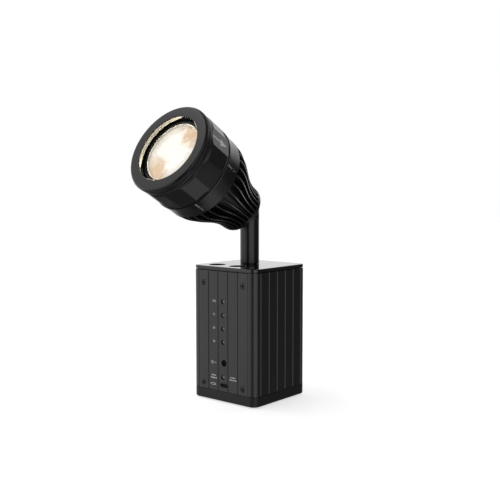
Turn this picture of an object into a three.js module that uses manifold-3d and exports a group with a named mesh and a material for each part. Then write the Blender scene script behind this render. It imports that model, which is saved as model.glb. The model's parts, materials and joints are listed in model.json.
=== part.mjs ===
// A battery follow spot: a finned zoom lamp head on a swivelling post, standing on a square battery base.
//
// Units are millimetres and +Z is up. The origin is the middle of the foot pad's underside. The lamp points
// towards -Y, and the control panel is the base's -Y face. Every piece is a named mesh. A piece of the head is
// shaped about the head's own axis: +Z is where the light goes, and z = 0 is the tilt pivot.

import * as THREE from 'three';
import { mergeVertices } from 'three/addons/utils/BufferGeometryUtils.js';
import Module from 'manifold-3d';

const wasm = await Module();
wasm.setup();

// ---------------------------------------------------------------- driving dimensions

const GAP = 0.3; // clearance between neighbouring pieces

// base
const BASE_WIDTH = 76;
const BASE_TOP = 125.6;
const CORNER_R = 6.9;
const PAD_PROUD = 1;
const CAP_HEIGHT = 9.3;
const SLAB = 2.95; // top plate's visible edge
const SEAM = 0.9; // shadow line under the top plate
const WALL = 3;
const GROOVE_PITCH = 11.88;
const GROOVE_WIDTH = 1;
const GROOVE_DEPTH = 0.6;
const PANEL_WIDTH = 59.1;
const PANEL_THICKNESS = 2.6;
const PANEL_SCREWS = { x: 2 * GROOVE_PITCH, low: 16.2, high: 109.9, holeR: 1.8, headR: 2.5, shankR: 1.5 };
const CORNER_BOLT = 31; // bottom screws, from the middle in x and in y
const BOTTOM_SCREWS = { holeR: 1.75, headR: 2.7, shankR: 1.45, depth: 13 };

// controls
const LAMP_COUNT = 4;
const LAMP_TOP = 93.7;
const LAMP_PITCH = 12.5;
const LAMP_HOLE_R = 2.2;
const CHARGE_LAMP_Z = 23.7;
const POWER = { x: 1.2, z: 37.1, r: 2.8 };
const USB = { x: 1.4, z: 16.3, width: 9, height: 3.3 };
const TOP_BUTTONS = [{ x: -20.2, y: -23.2 }, { x: 5, y: -23.2 }];
const TOP_BUTTON_R = 7.6;

// batteries
const CELL_R = 9.15;
const CELL_LENGTH = 65;
const CELL_FLOOR = 12.2;
const CELL_X = 10;
const CELL_ROWS = [-13, 7];
const CELL_NUB = 1.2; // how far a cell's positive end stands out

// post and pivot
const POST_R = 8.95;
const SPIGOT_R = 6.5;
const PIVOT_Z = 170.3;
const HEAD_TILT = 29.7; // degrees above level
const LAP_REACH = POST_R + 0.35; // where the full round section starts, from the pivot
const LAP_HALF_GAP = 0.6;
const PIVOT_BOLT_R = 1.8;
const WIRE_BORE_R = 3.5; // the wiring's way through the post and the stub
const PAN_THREAD_END = 110.3;

// head, all stations measured forward from the pivot along the beam
const TAIL = 15.5; // rear face of the heat sink
const TAIL_RING = 19.5; // front of the solid ring that closes the fins
const TAIL_R = 22.9;
const BAND_REAR = 74.7;
const BAND_R = 40.4;
const BAND_FRONT = 90.6;
const BAND_FRONT_R = 41.3;
const BARREL_REAR = 91.2;
const BARREL_FRONT = 114.7;
const BARREL_R = 41.4;
const SLEEVE_R = 33.5;
const SLEEVE_BORE = 31.2;
const SLEEVE_FRONT = 110.5;
const BEZEL_REAR = 118.2;
const HEAD_FRONT = 122.8;
const APERTURE_R = 30.8;
const FIN_COUNT = 32;
const FIN_THICKNESS = 1.5;
const CORE_R = 17; // heat sink's root between the fins, at the tail
const STUB_SCREWS = { circleR: 11.4, holeR: 1.6, headR: 2.2, shankR: 1.3 };
const FACET_PAIRS = 8; // wide flats alternate with narrow ones
const WIDE_FLAT = 40.47; // distance of a flat from the axis
const NARROW_FLAT = 40.75;
const ARROW_ANGLE = 23.6; // degrees from +X towards the top, where the first wide flat and a fin sit
const LENS_R = 28.6;

const half = BASE_WIDTH / 2;
const housingBottom = PAD_PROUD + CAP_HEIGHT + GAP;
const slabBottom = BASE_TOP - SLAB;
const housingTop = slabBottom - SEAM;
const panelFace = -half;
const panelBack = panelFace + PANEL_THICKNESS;
const boardFront = -30;

// ---------------------------------------------------------------- shaping helpers

function signedVolume(positions, index) {
  const a = new THREE.Vector3();
  const b = new THREE.Vector3();
  const c = new THREE.Vector3();
  let volume = 0;
  for (let i = 0; i < index.length; i += 3) {
    a.fromArray(positions, index[i] * 3);
    b.fromArray(positions, index[i + 1] * 3);
    c.fromArray(positions, index[i + 2] * 3);
    volume += a.dot(b.cross(c)) / 6;
  }
  return volume;
}

// The closed solid of a geometry, with its shared vertices merged and its faces pointing out.
function solid(geometry) {
  const bare = geometry.clone();
  bare.deleteAttribute('normal');
  bare.deleteAttribute('uv');
  const merged = mergeVertices(bare, 1e-4);
  const positions = merged.attributes.position.array;
  const index = [];
  for (let i = 0; i < merged.index.count; i += 3) {
    const [a, b, c] = [0, 1, 2].map((k) => merged.index.getX(i + k));
    if (a !== b && b !== c && c !== a) index.push(a, b, c);
  }
  if (signedVolume(positions, index) < 0) index.reverse();
  const mesh = new wasm.Mesh({
    numProp: 3,
    vertProperties: new Float32Array(positions),
    triVerts: new Uint32Array(index),
  });
  return new wasm.Manifold(mesh);
}

function geometryOf(manifold) {
  const { vertProperties, triVerts } = manifold.getMesh();
  const geometry = new THREE.BufferGeometry();
  geometry.setAttribute('position', new THREE.BufferAttribute(new Float32Array(vertProperties), 3));
  geometry.setIndex(new THREE.BufferAttribute(new Uint32Array(triVerts), 1));
  return geometry;
}

const cut = (body, ...tools) =>
  geometryOf(tools.flat().reduce((left, tool) => left.subtract(solid(tool)), solid(body)));
const join = (body, ...others) =>
  geometryOf(others.flat().reduce((sum, other) => sum.add(solid(other)), solid(body)));
const common = (body, other) => geometryOf(solid(body).intersect(solid(other)));

// A block from one corner to the opposite one.
function block([x0, y0, z0], [x1, y1, z1]) {
  const box = new THREE.BoxGeometry(x1 - x0, y1 - y0, z1 - z0);
  return box.translate((x0 + x1) / 2, (y0 + y1) / 2, (z0 + z1) / 2);
}

// A round bar from a to b along an axis letter, centred on (u, v) in the other two axes, in x, y, z order.
function rod(axis, r, a, b, [u, v] = [0, 0], sides = 24) {
  const bar = new THREE.CylinderGeometry(r, r, b - a, sides).translate(0, (a + b) / 2, 0);
  if (axis === 'x') return bar.rotateZ(-Math.PI / 2).translate(0, u, v);
  if (axis === 'y') return bar.translate(u, 0, v);
  return bar.rotateX(Math.PI / 2).translate(u, v, 0);
}

// A solid of revolution about Z from [radius, height] points. It closes on itself unless it meets the axis.
function turned(profile, sides = 32) {
  const points = profile.map(([r, z]) => new THREE.Vector2(r, z));
  if (points.at(-1).x > 0) points.push(points[0].clone());
  return new THREE.LatheGeometry(points, sides).rotateX(Math.PI / 2);
}

const ring = (inner, outer, z0, z1, sides = 24) =>
  turned([[inner, z0], [outer, z0], [outer, z1], [inner, z1]], sides);

function roundedSquare(width, radius) {
  const h = width / 2;
  const shape = new THREE.Shape();
  const corners = [[1, -1, -90], [1, 1, 0], [-1, 1, 90], [-1, -1, 180]];
  for (const [sx, sy, start] of corners) {
    const from = THREE.MathUtils.degToRad(start);
    shape.absarc(sx * (h - radius), sy * (h - radius), radius, from, from + Math.PI / 2, false);
  }
  shape.closePath();
  return shape;
}

function prism(shape, z0, z1, curveSegments = 4) {
  const options = { depth: z1 - z0, bevelEnabled: false, curveSegments };
  return new THREE.ExtrudeGeometry(shape, options).translate(0, 0, z0);
}

const squarePrism = (width, radius, z0, z1) => prism(roundedSquare(width, radius), z0, z1);

// The V-shaped cutter of one groove, running up the -Y face at x.
function grooveCutter(x, z0, z1) {
  const shape = new THREE.Shape();
  shape.moveTo(x - GROOVE_WIDTH / 2, panelFace - 0.01);
  shape.lineTo(x + GROOVE_WIDTH / 2, panelFace - 0.01);
  shape.lineTo(x, panelFace + GROOVE_DEPTH);
  shape.closePath();
  return prism(shape, z0, z1);
}

const turnAboutZ = (geometry, degrees) => geometry.rotateZ(THREE.MathUtils.degToRad(degrees));
const acrossFour = (x, y) => [[x, y], [-x, y], [-x, -y], [x, -y]];

// ---------------------------------------------------------------- finishes

function finish(color, roughness, metalness = 0) {
  return () => new THREE.MeshStandardMaterial({ color, roughness, metalness });
}

const FINISH = {
  blackAluminium: finish(0x232325, 0.45, 0.6),
  satinBlack: finish(0x1c1c1e, 0.35, 0.5),
  glossBlack: finish(0x101012, 0.08),
  blackPlastic: finish(0x1b1b1c, 0.6),
  rubber: finish(0x151515, 0.9),
  steel: finish(0x9a9ca0, 0.35, 1),
  blackSteel: finish(0x161617, 0.4, 0.8),
  bareAluminium: finish(0xb4b6ba, 0.4, 1),
  nylon: finish(0xd8d6cc, 0.6),
  board: finish(0x14482a, 0.5),
  cellWrap: finish(0x2f6fae, 0.45),
  lampClear: finish(0xd6e2dc, 0.25),
  emitter: finish(0xf2d56a, 0.4),
  glass: finish(0xf6f1e6, 0.05),
};

const object = new THREE.Group();
const post = new THREE.Group();
const head = new THREE.Group();
head.position.z = PIVOT_Z;
head.rotation.x = THREE.MathUtils.degToRad(90 - HEAD_TILT);
object.add(post, head);

function piece(parent, name, makeMaterial, geometry) {
  const mesh = new THREE.Mesh(geometryOf(solid(geometry)), makeMaterial());
  mesh.name = name;
  parent.add(mesh);
}

// ---------------------------------------------------------------- base: shell

// The housing is an extruded shell, open at the front between two lips that carry the control panel.
function housing() {
  const opening = PANEL_WIDTH / 2 + GAP;
  const lipBack = panelBack + GAP + WALL;
  const shell = cut(
    squarePrism(BASE_WIDTH, CORNER_R, housingBottom, housingTop),
    squarePrism(BASE_WIDTH - 2 * WALL, CORNER_R - WALL, housingBottom - 1, housingTop + 1),
    block([-opening, panelFace - 1, housingBottom - 1], [opening, panelBack + WALL, housingTop + 1]),
  );
  const lips = [-1, 1].map((side) => {
    const [near, far] = [side * (PANEL_SCREWS.x - WALL), side * (half - 1)].sort((a, b) => a - b);
    return block([near, panelBack + GAP, housingBottom + 1.4], [far, lipBack, housingTop - WALL - 0.5]);
  });
  const { holeR, headR, depth } = BOTTOM_SCREWS;
  const bosses = acrossFour(CORNER_BOLT, CORNER_BOLT)
    .map(([x, y]) => rod('z', headR + 1.9, housingBottom, housingBottom + depth, [x, y], 12));
  const bossHoles = acrossFour(CORNER_BOLT, CORNER_BOLT)
    .map(([x, y]) => rod('z', holeR, housingBottom - 1, housingBottom + depth + 1, [x, y], 8));
  const grooves = [];
  for (const face of [90, 180, 270]) {
    for (let k = -2.5; k <= 2.5; k += 1) {
      grooves.push(turnAboutZ(grooveCutter(k * GROOVE_PITCH, housingBottom - 1, housingTop + 1), face));
    }
  }
  const screwHoles = panelScrewPlaces()
    .map(([x, z]) => rod('y', PANEL_SCREWS.holeR, panelBack, lipBack + 1, [x, z], 8));
  return cut(join(shell, lips, bosses), bossHoles, grooves, screwHoles);
}

function panelScrewPlaces() {
  const { x, low, high } = PANEL_SCREWS;
  return [[-x, low], [x, low], [-x, high], [x, high]];
}

const lampHeights = Array.from({ length: LAMP_COUNT }, (_, i) => LAMP_TOP - i * LAMP_PITCH);

function frontPanel() {
  const w = PANEL_WIDTH / 2;
  const through = (r, x, z, sides = 12) => rod('y', r, panelFace - 1, panelBack + 1, [x, z], sides);
  const usbHole = block(
    [USB.x - USB.width / 2 - 0.6, panelFace - 1, USB.z - USB.height / 2 - 0.5],
    [USB.x + USB.width / 2 + 0.6, panelBack + 1, USB.z + USB.height / 2 + 0.5],
  );
  const grooves = [-1.5, -0.5, 0.5, 1.5]
    .map((k) => grooveCutter(k * GROOVE_PITCH, housingBottom - 1, housingTop + 1));
  return cut(
    block([-w, panelFace, housingBottom], [w, panelBack, housingTop - GAP]),
    grooves,
    [...lampHeights, CHARGE_LAMP_Z].map((z) => through(LAMP_HOLE_R, 0, z)),
    through(POWER.r + GAP, POWER.x, POWER.z),
    usbHole,
    panelScrewPlaces().map(([x, z]) => through(PANEL_SCREWS.holeR, x, z, 8)),
    panelScrewPlaces()
      .map(([x, z]) => rod('y', PANEL_SCREWS.headR + GAP, panelFace - 1, panelFace + 1.4, [x, z], 12)),
  );
}

function panelScrew([x, z]) {
  const headBack = panelFace + 1.1;
  const body = join(
    rod('y', PANEL_SCREWS.headR, panelFace + 0.2, headBack, [x, z], 12),
    rod('y', PANEL_SCREWS.shankR, headBack - 0.2, panelBack + 1.5 * WALL, [x, z], 8),
  );
  const slot = (dx, dz) => block(
    [x - dx, panelFace - 1, z - dz],
    [x + dx, panelFace + 0.7, z + dz],
  );
  return cut(body, slot(1.6, 0.3), slot(0.3, 1.6));
}

// The top plate: a visible slab, a smaller step that leaves the shadow line, and a register inside the shell.
function topPlate() {
  const stepBottom = housingTop + GAP;
  const plate = join(
    squarePrism(BASE_WIDTH, CORNER_R, slabBottom, BASE_TOP),
    squarePrism(BASE_WIDTH - 2.4, CORNER_R - 1.2, stepBottom, slabBottom + 0.1),
    squarePrism(BASE_WIDTH - 2 * WALL - 0.6, CORNER_R - WALL, housingTop - WALL, stepBottom + 0.1),
  );
  const buttonCuts = TOP_BUTTONS.flatMap(({ x, y }) => [
    rod('z', TOP_BUTTON_R + GAP, slabBottom - 1, BASE_TOP + 1, [x, y], 24),
    rod('z', TOP_BUTTON_R + 1.7, housingTop - 5, slabBottom, [x, y], 16),
  ]);
  return cut(plate, rod('z', SPIGOT_R + 0.4, housingTop - 5, BASE_TOP + 1), buttonCuts);
}

function bottomCap() {
  const floor = PAD_PROUD + 4;
  const top = PAD_PROUD + CAP_HEIGHT;
  const bolts = acrossFour(CORNER_BOLT, CORNER_BOLT);
  return cut(
    squarePrism(BASE_WIDTH, CORNER_R, PAD_PROUD, top),
    squarePrism(2 * CORNER_BOLT + 6, CORNER_R - WALL, floor, top + 1),
    squarePrism(2 * CORNER_BOLT + 4.6, CORNER_R - WALL, PAD_PROUD - 1, PAD_PROUD + 0.6),
    bolts.map(([x, y]) => rod('z', BOTTOM_SCREWS.holeR, PAD_PROUD - 1, top, [x, y], 8)),
    bolts.map(([x, y]) => rod('z', BOTTOM_SCREWS.headR + GAP, PAD_PROUD - 1, PAD_PROUD + 2.5, [x, y], 12)),
  );
}

function bottomScrew([x, y]) {
  const headBottom = PAD_PROUD + 0.8;
  const body = join(
    rod('z', BOTTOM_SCREWS.headR, headBottom, headBottom + 1.4, [x, y], 12),
    rod('z', BOTTOM_SCREWS.shankR, headBottom + 1, housingBottom + BOTTOM_SCREWS.depth - 2, [x, y], 8),
  );
  return cut(body, rod('z', 1.2, headBottom - 1, headBottom + 0.9, [x, y], 6));
}

piece(object, 'base_housing', FINISH.blackAluminium, housing());
piece(object, 'front_panel', FINISH.blackAluminium, frontPanel());
panelScrewPlaces().forEach((place, i) => {
  piece(object, `panel_screw_${i + 1}`, FINISH.blackSteel, panelScrew(place));
});
piece(object, 'top_plate', FINISH.glossBlack, topPlate());
piece(object, 'bottom_cap', FINISH.blackPlastic, bottomCap());
acrossFour(CORNER_BOLT, CORNER_BOLT).forEach((place, i) => {
  piece(object, `bottom_screw_${i + 1}`, FINISH.blackSteel, bottomScrew(place));
});
piece(object, 'foot_pad', FINISH.rubber, squarePrism(2 * CORNER_BOLT + 4, CORNER_R - WALL, 0, PAD_PROUD + 0.3));
piece(object, 'base_weight', FINISH.steel, squarePrism(57, 3, PAD_PROUD + 4 + GAP, PAD_PROUD + 8.3));

// ---------------------------------------------------------------- base: battery, board and controls

const cellPlaces = CELL_ROWS.flatMap((y) => [[-CELL_X, y], [CELL_X, y]]);
const cellTop = CELL_FLOOR + CELL_LENGTH;
const trayEdge = { x: 24, y0: CELL_ROWS[0] - 12, y1: CELL_ROWS[1] + 12 };

// A plate with four pockets that holds one end of the cells, from z0 to z1, pockets cut from pocket0 to pocket1.
function cellHolder(z0, z1, pocket0, pocket1) {
  return cut(
    block([-trayEdge.x, trayEdge.y0, z0], [trayEdge.x, trayEdge.y1, z1]),
    cellPlaces.map((place) => rod('z', CELL_R + GAP, pocket0, pocket1, place, 16)),
  );
}

function cell(place) {
  return join(
    rod('z', CELL_R, CELL_FLOOR, cellTop - CELL_NUB, place, 16),
    rod('z', 3, cellTop - CELL_NUB - 0.2, cellTop, place, 8),
  );
}

piece(object, 'cell_tray', FINISH.blackPlastic,
  cellHolder(CELL_FLOOR - 2.5, CELL_FLOOR + 2.2, CELL_FLOOR - GAP, CELL_FLOOR + 3));
cellPlaces.forEach((place, i) => piece(object, `battery_cell_${i + 1}`, FINISH.cellWrap, cell(place)));
piece(object, 'cell_clamp', FINISH.blackPlastic,
  cellHolder(cellTop - 4, cellTop + 2.5, cellTop - 5, cellTop + GAP));

piece(object, 'main_board', FINISH.board, block([-19, boardFront, 13.6], [19, boardFront + 1.6, 113.6]));

function lamp(z) {
  return join(
    rod('y', LAMP_HOLE_R - GAP, panelFace + 0.8, boardFront - GAP, [0, z], 12),
    rod('y', LAMP_HOLE_R + 0.5, panelBack + GAP, boardFront - GAP, [0, z], 12),
  );
}

lampHeights.forEach((z, i) => piece(object, `level_lamp_${i + 1}`, FINISH.lampClear, lamp(z)));
piece(object, 'charge_lamp', FINISH.lampClear, lamp(CHARGE_LAMP_Z));

const powerPlace = [POWER.x, POWER.z];
piece(object, 'power_button', FINISH.blackPlastic, join(
  rod('y', POWER.r, panelFace + 0.6, panelBack + 0.4, powerPlace, 20),
  rod('y', POWER.r + 1.2, panelBack + GAP, panelBack + 0.7, powerPlace, 20),
));
piece(object, 'power_switch', FINISH.blackPlastic, join(
  block([POWER.x - 3, boardFront - 3.1, POWER.z - 3], [POWER.x + 3, boardFront - GAP, POWER.z + 3]),
  rod('y', 1.5, boardFront - 3.8, boardFront - 3, powerPlace, 12),
));

// A socket shell with its mouth just inside the panel's face, closed at the back, and its tongue.
function usbSocket() {
  const w = USB.width / 2;
  const h = USB.height / 2;
  const mouth = panelFace + 0.5;
  const back = boardFront - GAP;
  const shell = cut(
    block([USB.x - w, mouth, USB.z - h], [USB.x + w, back, USB.z + h]),
    block([USB.x - w + 0.35, mouth - 1, USB.z - h + 0.35], [USB.x + w - 0.35, back - 1.2, USB.z + h - 0.35]),
  );
  const tongue = block([USB.x - w + 1.2, mouth + 0.8, USB.z - 0.35], [USB.x + w - 1.2, back - 1, USB.z + 0.35]);
  return join(shell, tongue);
}

piece(object, 'usb_socket', FINISH.steel, usbSocket());

TOP_BUTTONS.forEach(({ x, y }, i) => {
  const flangeTop = slabBottom - GAP;
  piece(object, `top_button_${i + 1}`, FINISH.blackPlastic, join(
    rod('z', TOP_BUTTON_R, flangeTop - 0.1, BASE_TOP, [x, y], 24),
    rod('z', TOP_BUTTON_R + 1.3, flangeTop - 0.8, flangeTop, [x, y], 16),
  ));
});

function buttonBoard() {
  const top = housingTop - WALL - GAP;
  const switches = TOP_BUTTONS.flatMap(({ x, y }) => [
    block([x - 3, y - 3, top - 0.1], [x + 3, y + 3, top + 1.7]),
    rod('z', 1.5, top + 1.6, top + 2.2, [x, y], 12),
  ]);
  return join(block([-29, -28, top - 1.6], [14, -16.5, top]), switches);
}

piece(object, 'button_board', FINISH.board, buttonBoard());

// ---------------------------------------------------------------- post: swivels in the top plate

// The post's upper half is cut away on one side, where the head's half laps against it at the pivot.
function postTube() {
  const shoulder = PIVOT_Z - LAP_REACH;
  const foot = BASE_TOP + 1.2;
  const roundEnd = join(
    rod('x', POST_R, LAP_HALF_GAP, POST_R + 1, [0, PIVOT_Z], 24),
    block([LAP_HALF_GAP, -POST_R - 1, shoulder - 1], [POST_R + 1, POST_R + 1, PIVOT_Z]),
  );
  return cut(
    join(
      rod('z', POST_R, foot, shoulder, [0, 0], 24),
      rod('z', SPIGOT_R, PAN_THREAD_END, foot + 1, [0, 0], 28),
      common(rod('z', POST_R, shoulder - 0.5, PIVOT_Z + POST_R + 1, [0, 0], 24), roundEnd),
    ),
    rod('z', WIRE_BORE_R, PAN_THREAD_END - 1, shoulder + 1, [0, 0], 16),
    rod('x', PIVOT_BOLT_R + GAP, -1, POST_R + 2, [0, PIVOT_Z], 12),
    rod('x', 3.4, 5.2, POST_R + 2, [0, PIVOT_Z], 16),
  );
}

piece(object, 'pan_washer_upper', FINISH.nylon, ring(SPIGOT_R + GAP, POST_R + 0.3, BASE_TOP + GAP, BASE_TOP + 0.9));
piece(object, 'pan_washer_lower', FINISH.nylon,
  ring(SPIGOT_R + GAP, 10.6, housingTop - WALL - 0.9, housingTop - WALL - GAP));
piece(post, 'post', FINISH.satinBlack, postTube());
piece(post, 'pan_nut', FINISH.steel, cut(
  rod('z', SPIGOT_R + 4.5, PAN_THREAD_END + 1.1, housingTop - WALL - 1.2, [0, 0], 6),
  rod('z', SPIGOT_R + GAP, PAN_THREAD_END, housingTop, [0, 0], 28),
));
piece(post, 'tilt_washer', FINISH.nylon, cut(
  rod('x', 6.5, -LAP_HALF_GAP + GAP, LAP_HALF_GAP - GAP, [0, PIVOT_Z], 24),
  rod('x', PIVOT_BOLT_R + GAP, -2, 2, [0, PIVOT_Z], 12),
));

// ---------------------------------------------------------------- head: pivot stub

const flangeFront = TAIL - GAP;
const flangeBack = flangeFront - 2.8;
const stubScrewPlaces = [90, 210, 330].map((degrees) => {
  const angle = THREE.MathUtils.degToRad(degrees);
  return [STUB_SCREWS.circleR * Math.cos(angle), STUB_SCREWS.circleR * Math.sin(angle)];
});

function tiltStub() {
  const lapSide = join(
    rod('x', POST_R, -POST_R - 1, -LAP_HALF_GAP, [0, 0], 24),
    block([-POST_R - 1, -POST_R - 1, 0], [-LAP_HALF_GAP, POST_R + 1, LAP_REACH + 1]),
  );
  return cut(
    join(
      rod('z', POST_R, LAP_REACH, flangeFront, [0, 0], 24),
      rod('z', 14.6, flangeBack, flangeFront, [0, 0], 24),
      common(rod('z', POST_R, -POST_R - 1, LAP_REACH + 0.5, [0, 0], 24), lapSide),
    ),
    rod('z', WIRE_BORE_R, LAP_REACH - 1, flangeFront + 1, [0, 0], 16),
    rod('x', PIVOT_BOLT_R + GAP, -POST_R - 2, 1, [0, 0], 12),
    rod('x', 4, -POST_R - 2, -5, [0, 0], 28),
    stubScrewPlaces.map((place) => rod('z', STUB_SCREWS.holeR, flangeBack - 1, flangeFront + 1, place, 10)),
  );
}

function stubScrew(place) {
  const headFront = flangeBack - GAP;
  const body = join(
    rod('z', STUB_SCREWS.headR, headFront - 1.6, headFront, place, 14),
    rod('z', STUB_SCREWS.shankR, headFront - 0.5, TAIL + 3.4, place, 8),
  );
  return cut(body, rod('z', 1.1, headFront - 2, headFront - 0.7, place, 6));
}

piece(head, 'tilt_stub', FINISH.satinBlack, tiltStub());
piece(head, 'tilt_bolt', FINISH.steel, cut(
  join(rod('x', PIVOT_BOLT_R, -8.1, 6, [0, 0], 12), rod('x', 3.1, 5.5, 8.1, [0, 0], 28)),
  rod('x', 1.5, 6.6, 9, [0, 0], 6),
));
piece(head, 'tilt_nut', FINISH.steel, cut(
  rod('x', 3.6, -8.3, -5.3, [0, 0], 6),
  rod('x', PIVOT_BOLT_R + GAP, -9, -4, [0, 0], 12),
));
stubScrewPlaces.forEach((place, i) => piece(head, `stub_screw_${i + 1}`, FINISH.blackSteel, stubScrew(place)));

// ---------------------------------------------------------------- head: heat sink and light engine

// Outer edge of a fin: an S-shaped sweep from the tail ring out to the band.
const finEdge = new THREE.CubicBezierCurve(
  new THREE.Vector2(TAIL_RING, TAIL_R + 0.1),
  new THREE.Vector2(TAIL_RING + 22.3, TAIL_R + 0.7),
  new THREE.Vector2(BAND_REAR - 18.2, BAND_R - 0.25),
  new THREE.Vector2(BAND_REAR - GAP, BAND_R),
);

function fin(index) {
  const shape = new THREE.Shape();
  shape.moveTo(TAIL + 1.5, CORE_R - 3);
  shape.lineTo(TAIL + 1.5, TAIL_R - 0.2);
  for (const point of finEdge.getPoints(5)) shape.lineTo(point.x, point.y);
  shape.lineTo(BAND_REAR - GAP, 30);
  shape.closePath();
  const options = { depth: FIN_THICKNESS, bevelEnabled: false };
  const plate = new THREE.ExtrudeGeometry(shape, options).translate(0, 0, -FIN_THICKNESS / 2);
  plate.applyMatrix4(new THREE.Matrix4().set(0, 1, 0, 0, 0, 0, 1, 0, 1, 0, 0, 0, 0, 0, 0, 1));
  return turnAboutZ(plate, ARROW_ANGLE + (index * 360) / FIN_COUNT);
}

function heatSink() {
  const face = BAND_REAR - GAP;
  const core = turned([
    [4, TAIL], [TAIL_R - 0.5, TAIL], [TAIL_R, TAIL + 0.6], [TAIL_R + 0.1, TAIL_RING],
    [CORE_R, TAIL_RING + 0.7], [CORE_R, 26], [21, 40], [27.5, 58], [33.7, 71.5],
    [33.7, face + 3], [30.2, face + 3], [30.2, face],
    [25.5, face], [12, 34], [4, 34],
  ], FIN_COUNT);
  turnAboutZ(core, ARROW_ANGLE + 180 / FIN_COUNT);
  const fins = Array.from({ length: FIN_COUNT }, (_, i) => fin(i));
  const holes = stubScrewPlaces.map((place) => rod('z', STUB_SCREWS.holeR, TAIL - 1, TAIL + 4, place, 10));
  return cut(join(core, fins), holes);
}

piece(head, 'heat_sink', FINISH.blackAluminium, heatSink());
piece(head, 'driver_board', FINISH.board, rod('z', 18, 62, 63.6, [0, 0], 36));
piece(head, 'led_plate', FINISH.bareAluminium, rod('z', 29.8, BAND_REAR, BAND_REAR + 2.6, [0, 0], 24));
piece(head, 'led_module', FINISH.emitter, join(
  block([-10, -10, BAND_REAR + 2.9], [10, 10, BAND_REAR + 3.9]),
  rod('z', 6.5, BAND_REAR + 3.8, BAND_REAR + 4.6, [0, 0], 28),
));
piece(head, 'reflector', FINISH.bareAluminium, turned([
  [8, BAND_REAR + 5], [16, BAND_REAR + 9], [22, BAND_REAR + 17], [25, 98.5], [26, 98.5],
  [23, BAND_REAR + 16.6], [17, BAND_REAR + 8.4], [9, BAND_REAR + 4.9],
], 24));

// ---------------------------------------------------------------- head: index band and its guide sleeve

const lensTravel = { back: 6.7, forward: 3.5 };
const guideStation = 100;

// The band carries the zoom marks. Its sleeve runs forward inside the barrel and guides the lens carrier.
function indexBand() {
  const body = turned([
    [34.1, BAND_REAR], [BAND_R, BAND_REAR], [BAND_R, 83], [BAND_FRONT_R, BAND_FRONT - 0.4],
    [BAND_FRONT_R - 0.4, BAND_FRONT], [SLEEVE_R, BAND_FRONT], [SLEEVE_R, SLEEVE_FRONT], [SLEEVE_BORE, SLEEVE_FRONT],
    [SLEEVE_BORE, BAND_FRONT - 3], [37.4, BAND_FRONT - 3], [37.4, BAND_REAR + 3.2], [34.1, BAND_REAR + 3.2],
  ], 40);
  const slots = [0, 180].map((degrees) => turnAboutZ(block(
    [SLEEVE_BORE - 2, -1.85, guideStation - lensTravel.back - 2],
    [SLEEVE_R + 0.6, 1.85, guideStation + lensTravel.forward + 2],
  ), degrees));
  return cut(body, slots);
}

piece(head, 'index_band', FINISH.blackAluminium, indexBand());

// ---------------------------------------------------------------- barrel: turns about the beam axis

function zoomBarrel() {
  const chamfer = 2.3;
  const body = turned([
    [36.5, BARREL_REAR], [BARREL_R - 0.9, BARREL_REAR], [BARREL_R, BARREL_REAR + 1.5],
    [BARREL_R, BARREL_FRONT - chamfer], [BARREL_R - 1, BARREL_FRONT], [37.5, BARREL_FRONT],
    [37.5, 107.7], [36.5, 107.7],
  ], 48);
  const flats = [];
  for (let k = 0; k < FACET_PAIRS; k += 1) {
    const wide = ARROW_ANGLE + (k * 360) / FACET_PAIRS;
    flats.push(turnAboutZ(block([WIDE_FLAT, -9.5, BARREL_REAR - 1], [44, 9.5, BARREL_FRONT + 1]), wide));
    const narrow = wide + 180 / FACET_PAIRS;
    flats.push(turnAboutZ(block(
      [NARROW_FLAT, -7.6, BARREL_REAR + 1.5],
      [44, 7.6, BARREL_FRONT - chamfer],
    ), narrow));
  }
  return cut(body, flats);
}

piece(head, 'zoom_barrel', FINISH.blackAluminium, zoomBarrel());
piece(head, 'dust_seal', FINISH.rubber, ring(37.5, 40.4, BARREL_FRONT + GAP, BARREL_FRONT + 1.1, 40));
piece(head, 'trim_ring', FINISH.blackAluminium, ring(37.5, 41.2, 116.1, 117.8, 40));
piece(head, 'front_bezel', FINISH.satinBlack, turned([
  [APERTURE_R, 112], [34, 112], [34, 108], [37.2, 108], [37.2, BEZEL_REAR], [BARREL_R, BEZEL_REAR],
  [BARREL_R, BEZEL_REAR + 2.2], [BARREL_R - 0.3, BEZEL_REAR + 3.1], [BARREL_R - 1, HEAD_FRONT - 0.5],
  [BARREL_R - 1.8, HEAD_FRONT], [APERTURE_R + 0.4, HEAD_FRONT], [APERTURE_R, HEAD_FRONT - 0.4],
], 40));

// ---------------------------------------------------------------- lens: slides in the sleeve and bezel

const CARRIER_R = APERTURE_R - 0.4;
const lensSeat = 115.3;

function carrier() {
  const body = turned([
    [26.6, 95.5], [CARRIER_R, 95.5], [CARRIER_R, lensSeat], [LENS_R + GAP, lensSeat], [LENS_R + GAP, 111.4],
    [26.6, 111.4],
  ], 32);
  return cut(body, rod('x', 1.8, -35, 35, [0, guideStation], 12));
}

// A thick plano-convex lens on an edge ring.
function lens() {
  const domeR = 26.6;
  const sag = 3.4;
  const radius = (domeR ** 2 + sag ** 2) / (2 * sag);
  const dome = Array.from({ length: 6 }, (_, i) => {
    const r = domeR * (1 - i / 5);
    return [r, lensSeat - radius + sag + Math.sqrt(radius ** 2 - r ** 2)];
  });
  return turned([[0, 111.7], [LENS_R, 111.7], [LENS_R, lensSeat], ...dome], 32);
}

piece(head, 'lens_carrier', FINISH.blackAluminium, carrier());
piece(head, 'front_lens', FINISH.glass, lens());
piece(head, 'lens_ring', FINISH.blackAluminium, ring(27.6, CARRIER_R, lensSeat + GAP, 117, 32));
[1, -1].forEach((side, i) => {
  const [near, far] = [side * 28.6, side * 35.6].sort((a, b) => a - b);
  piece(head, `guide_pin_${i + 1}`, FINISH.steel, rod('x', 1.5, near, far, [0, guideStation], 12));
});

export default object;
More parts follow.
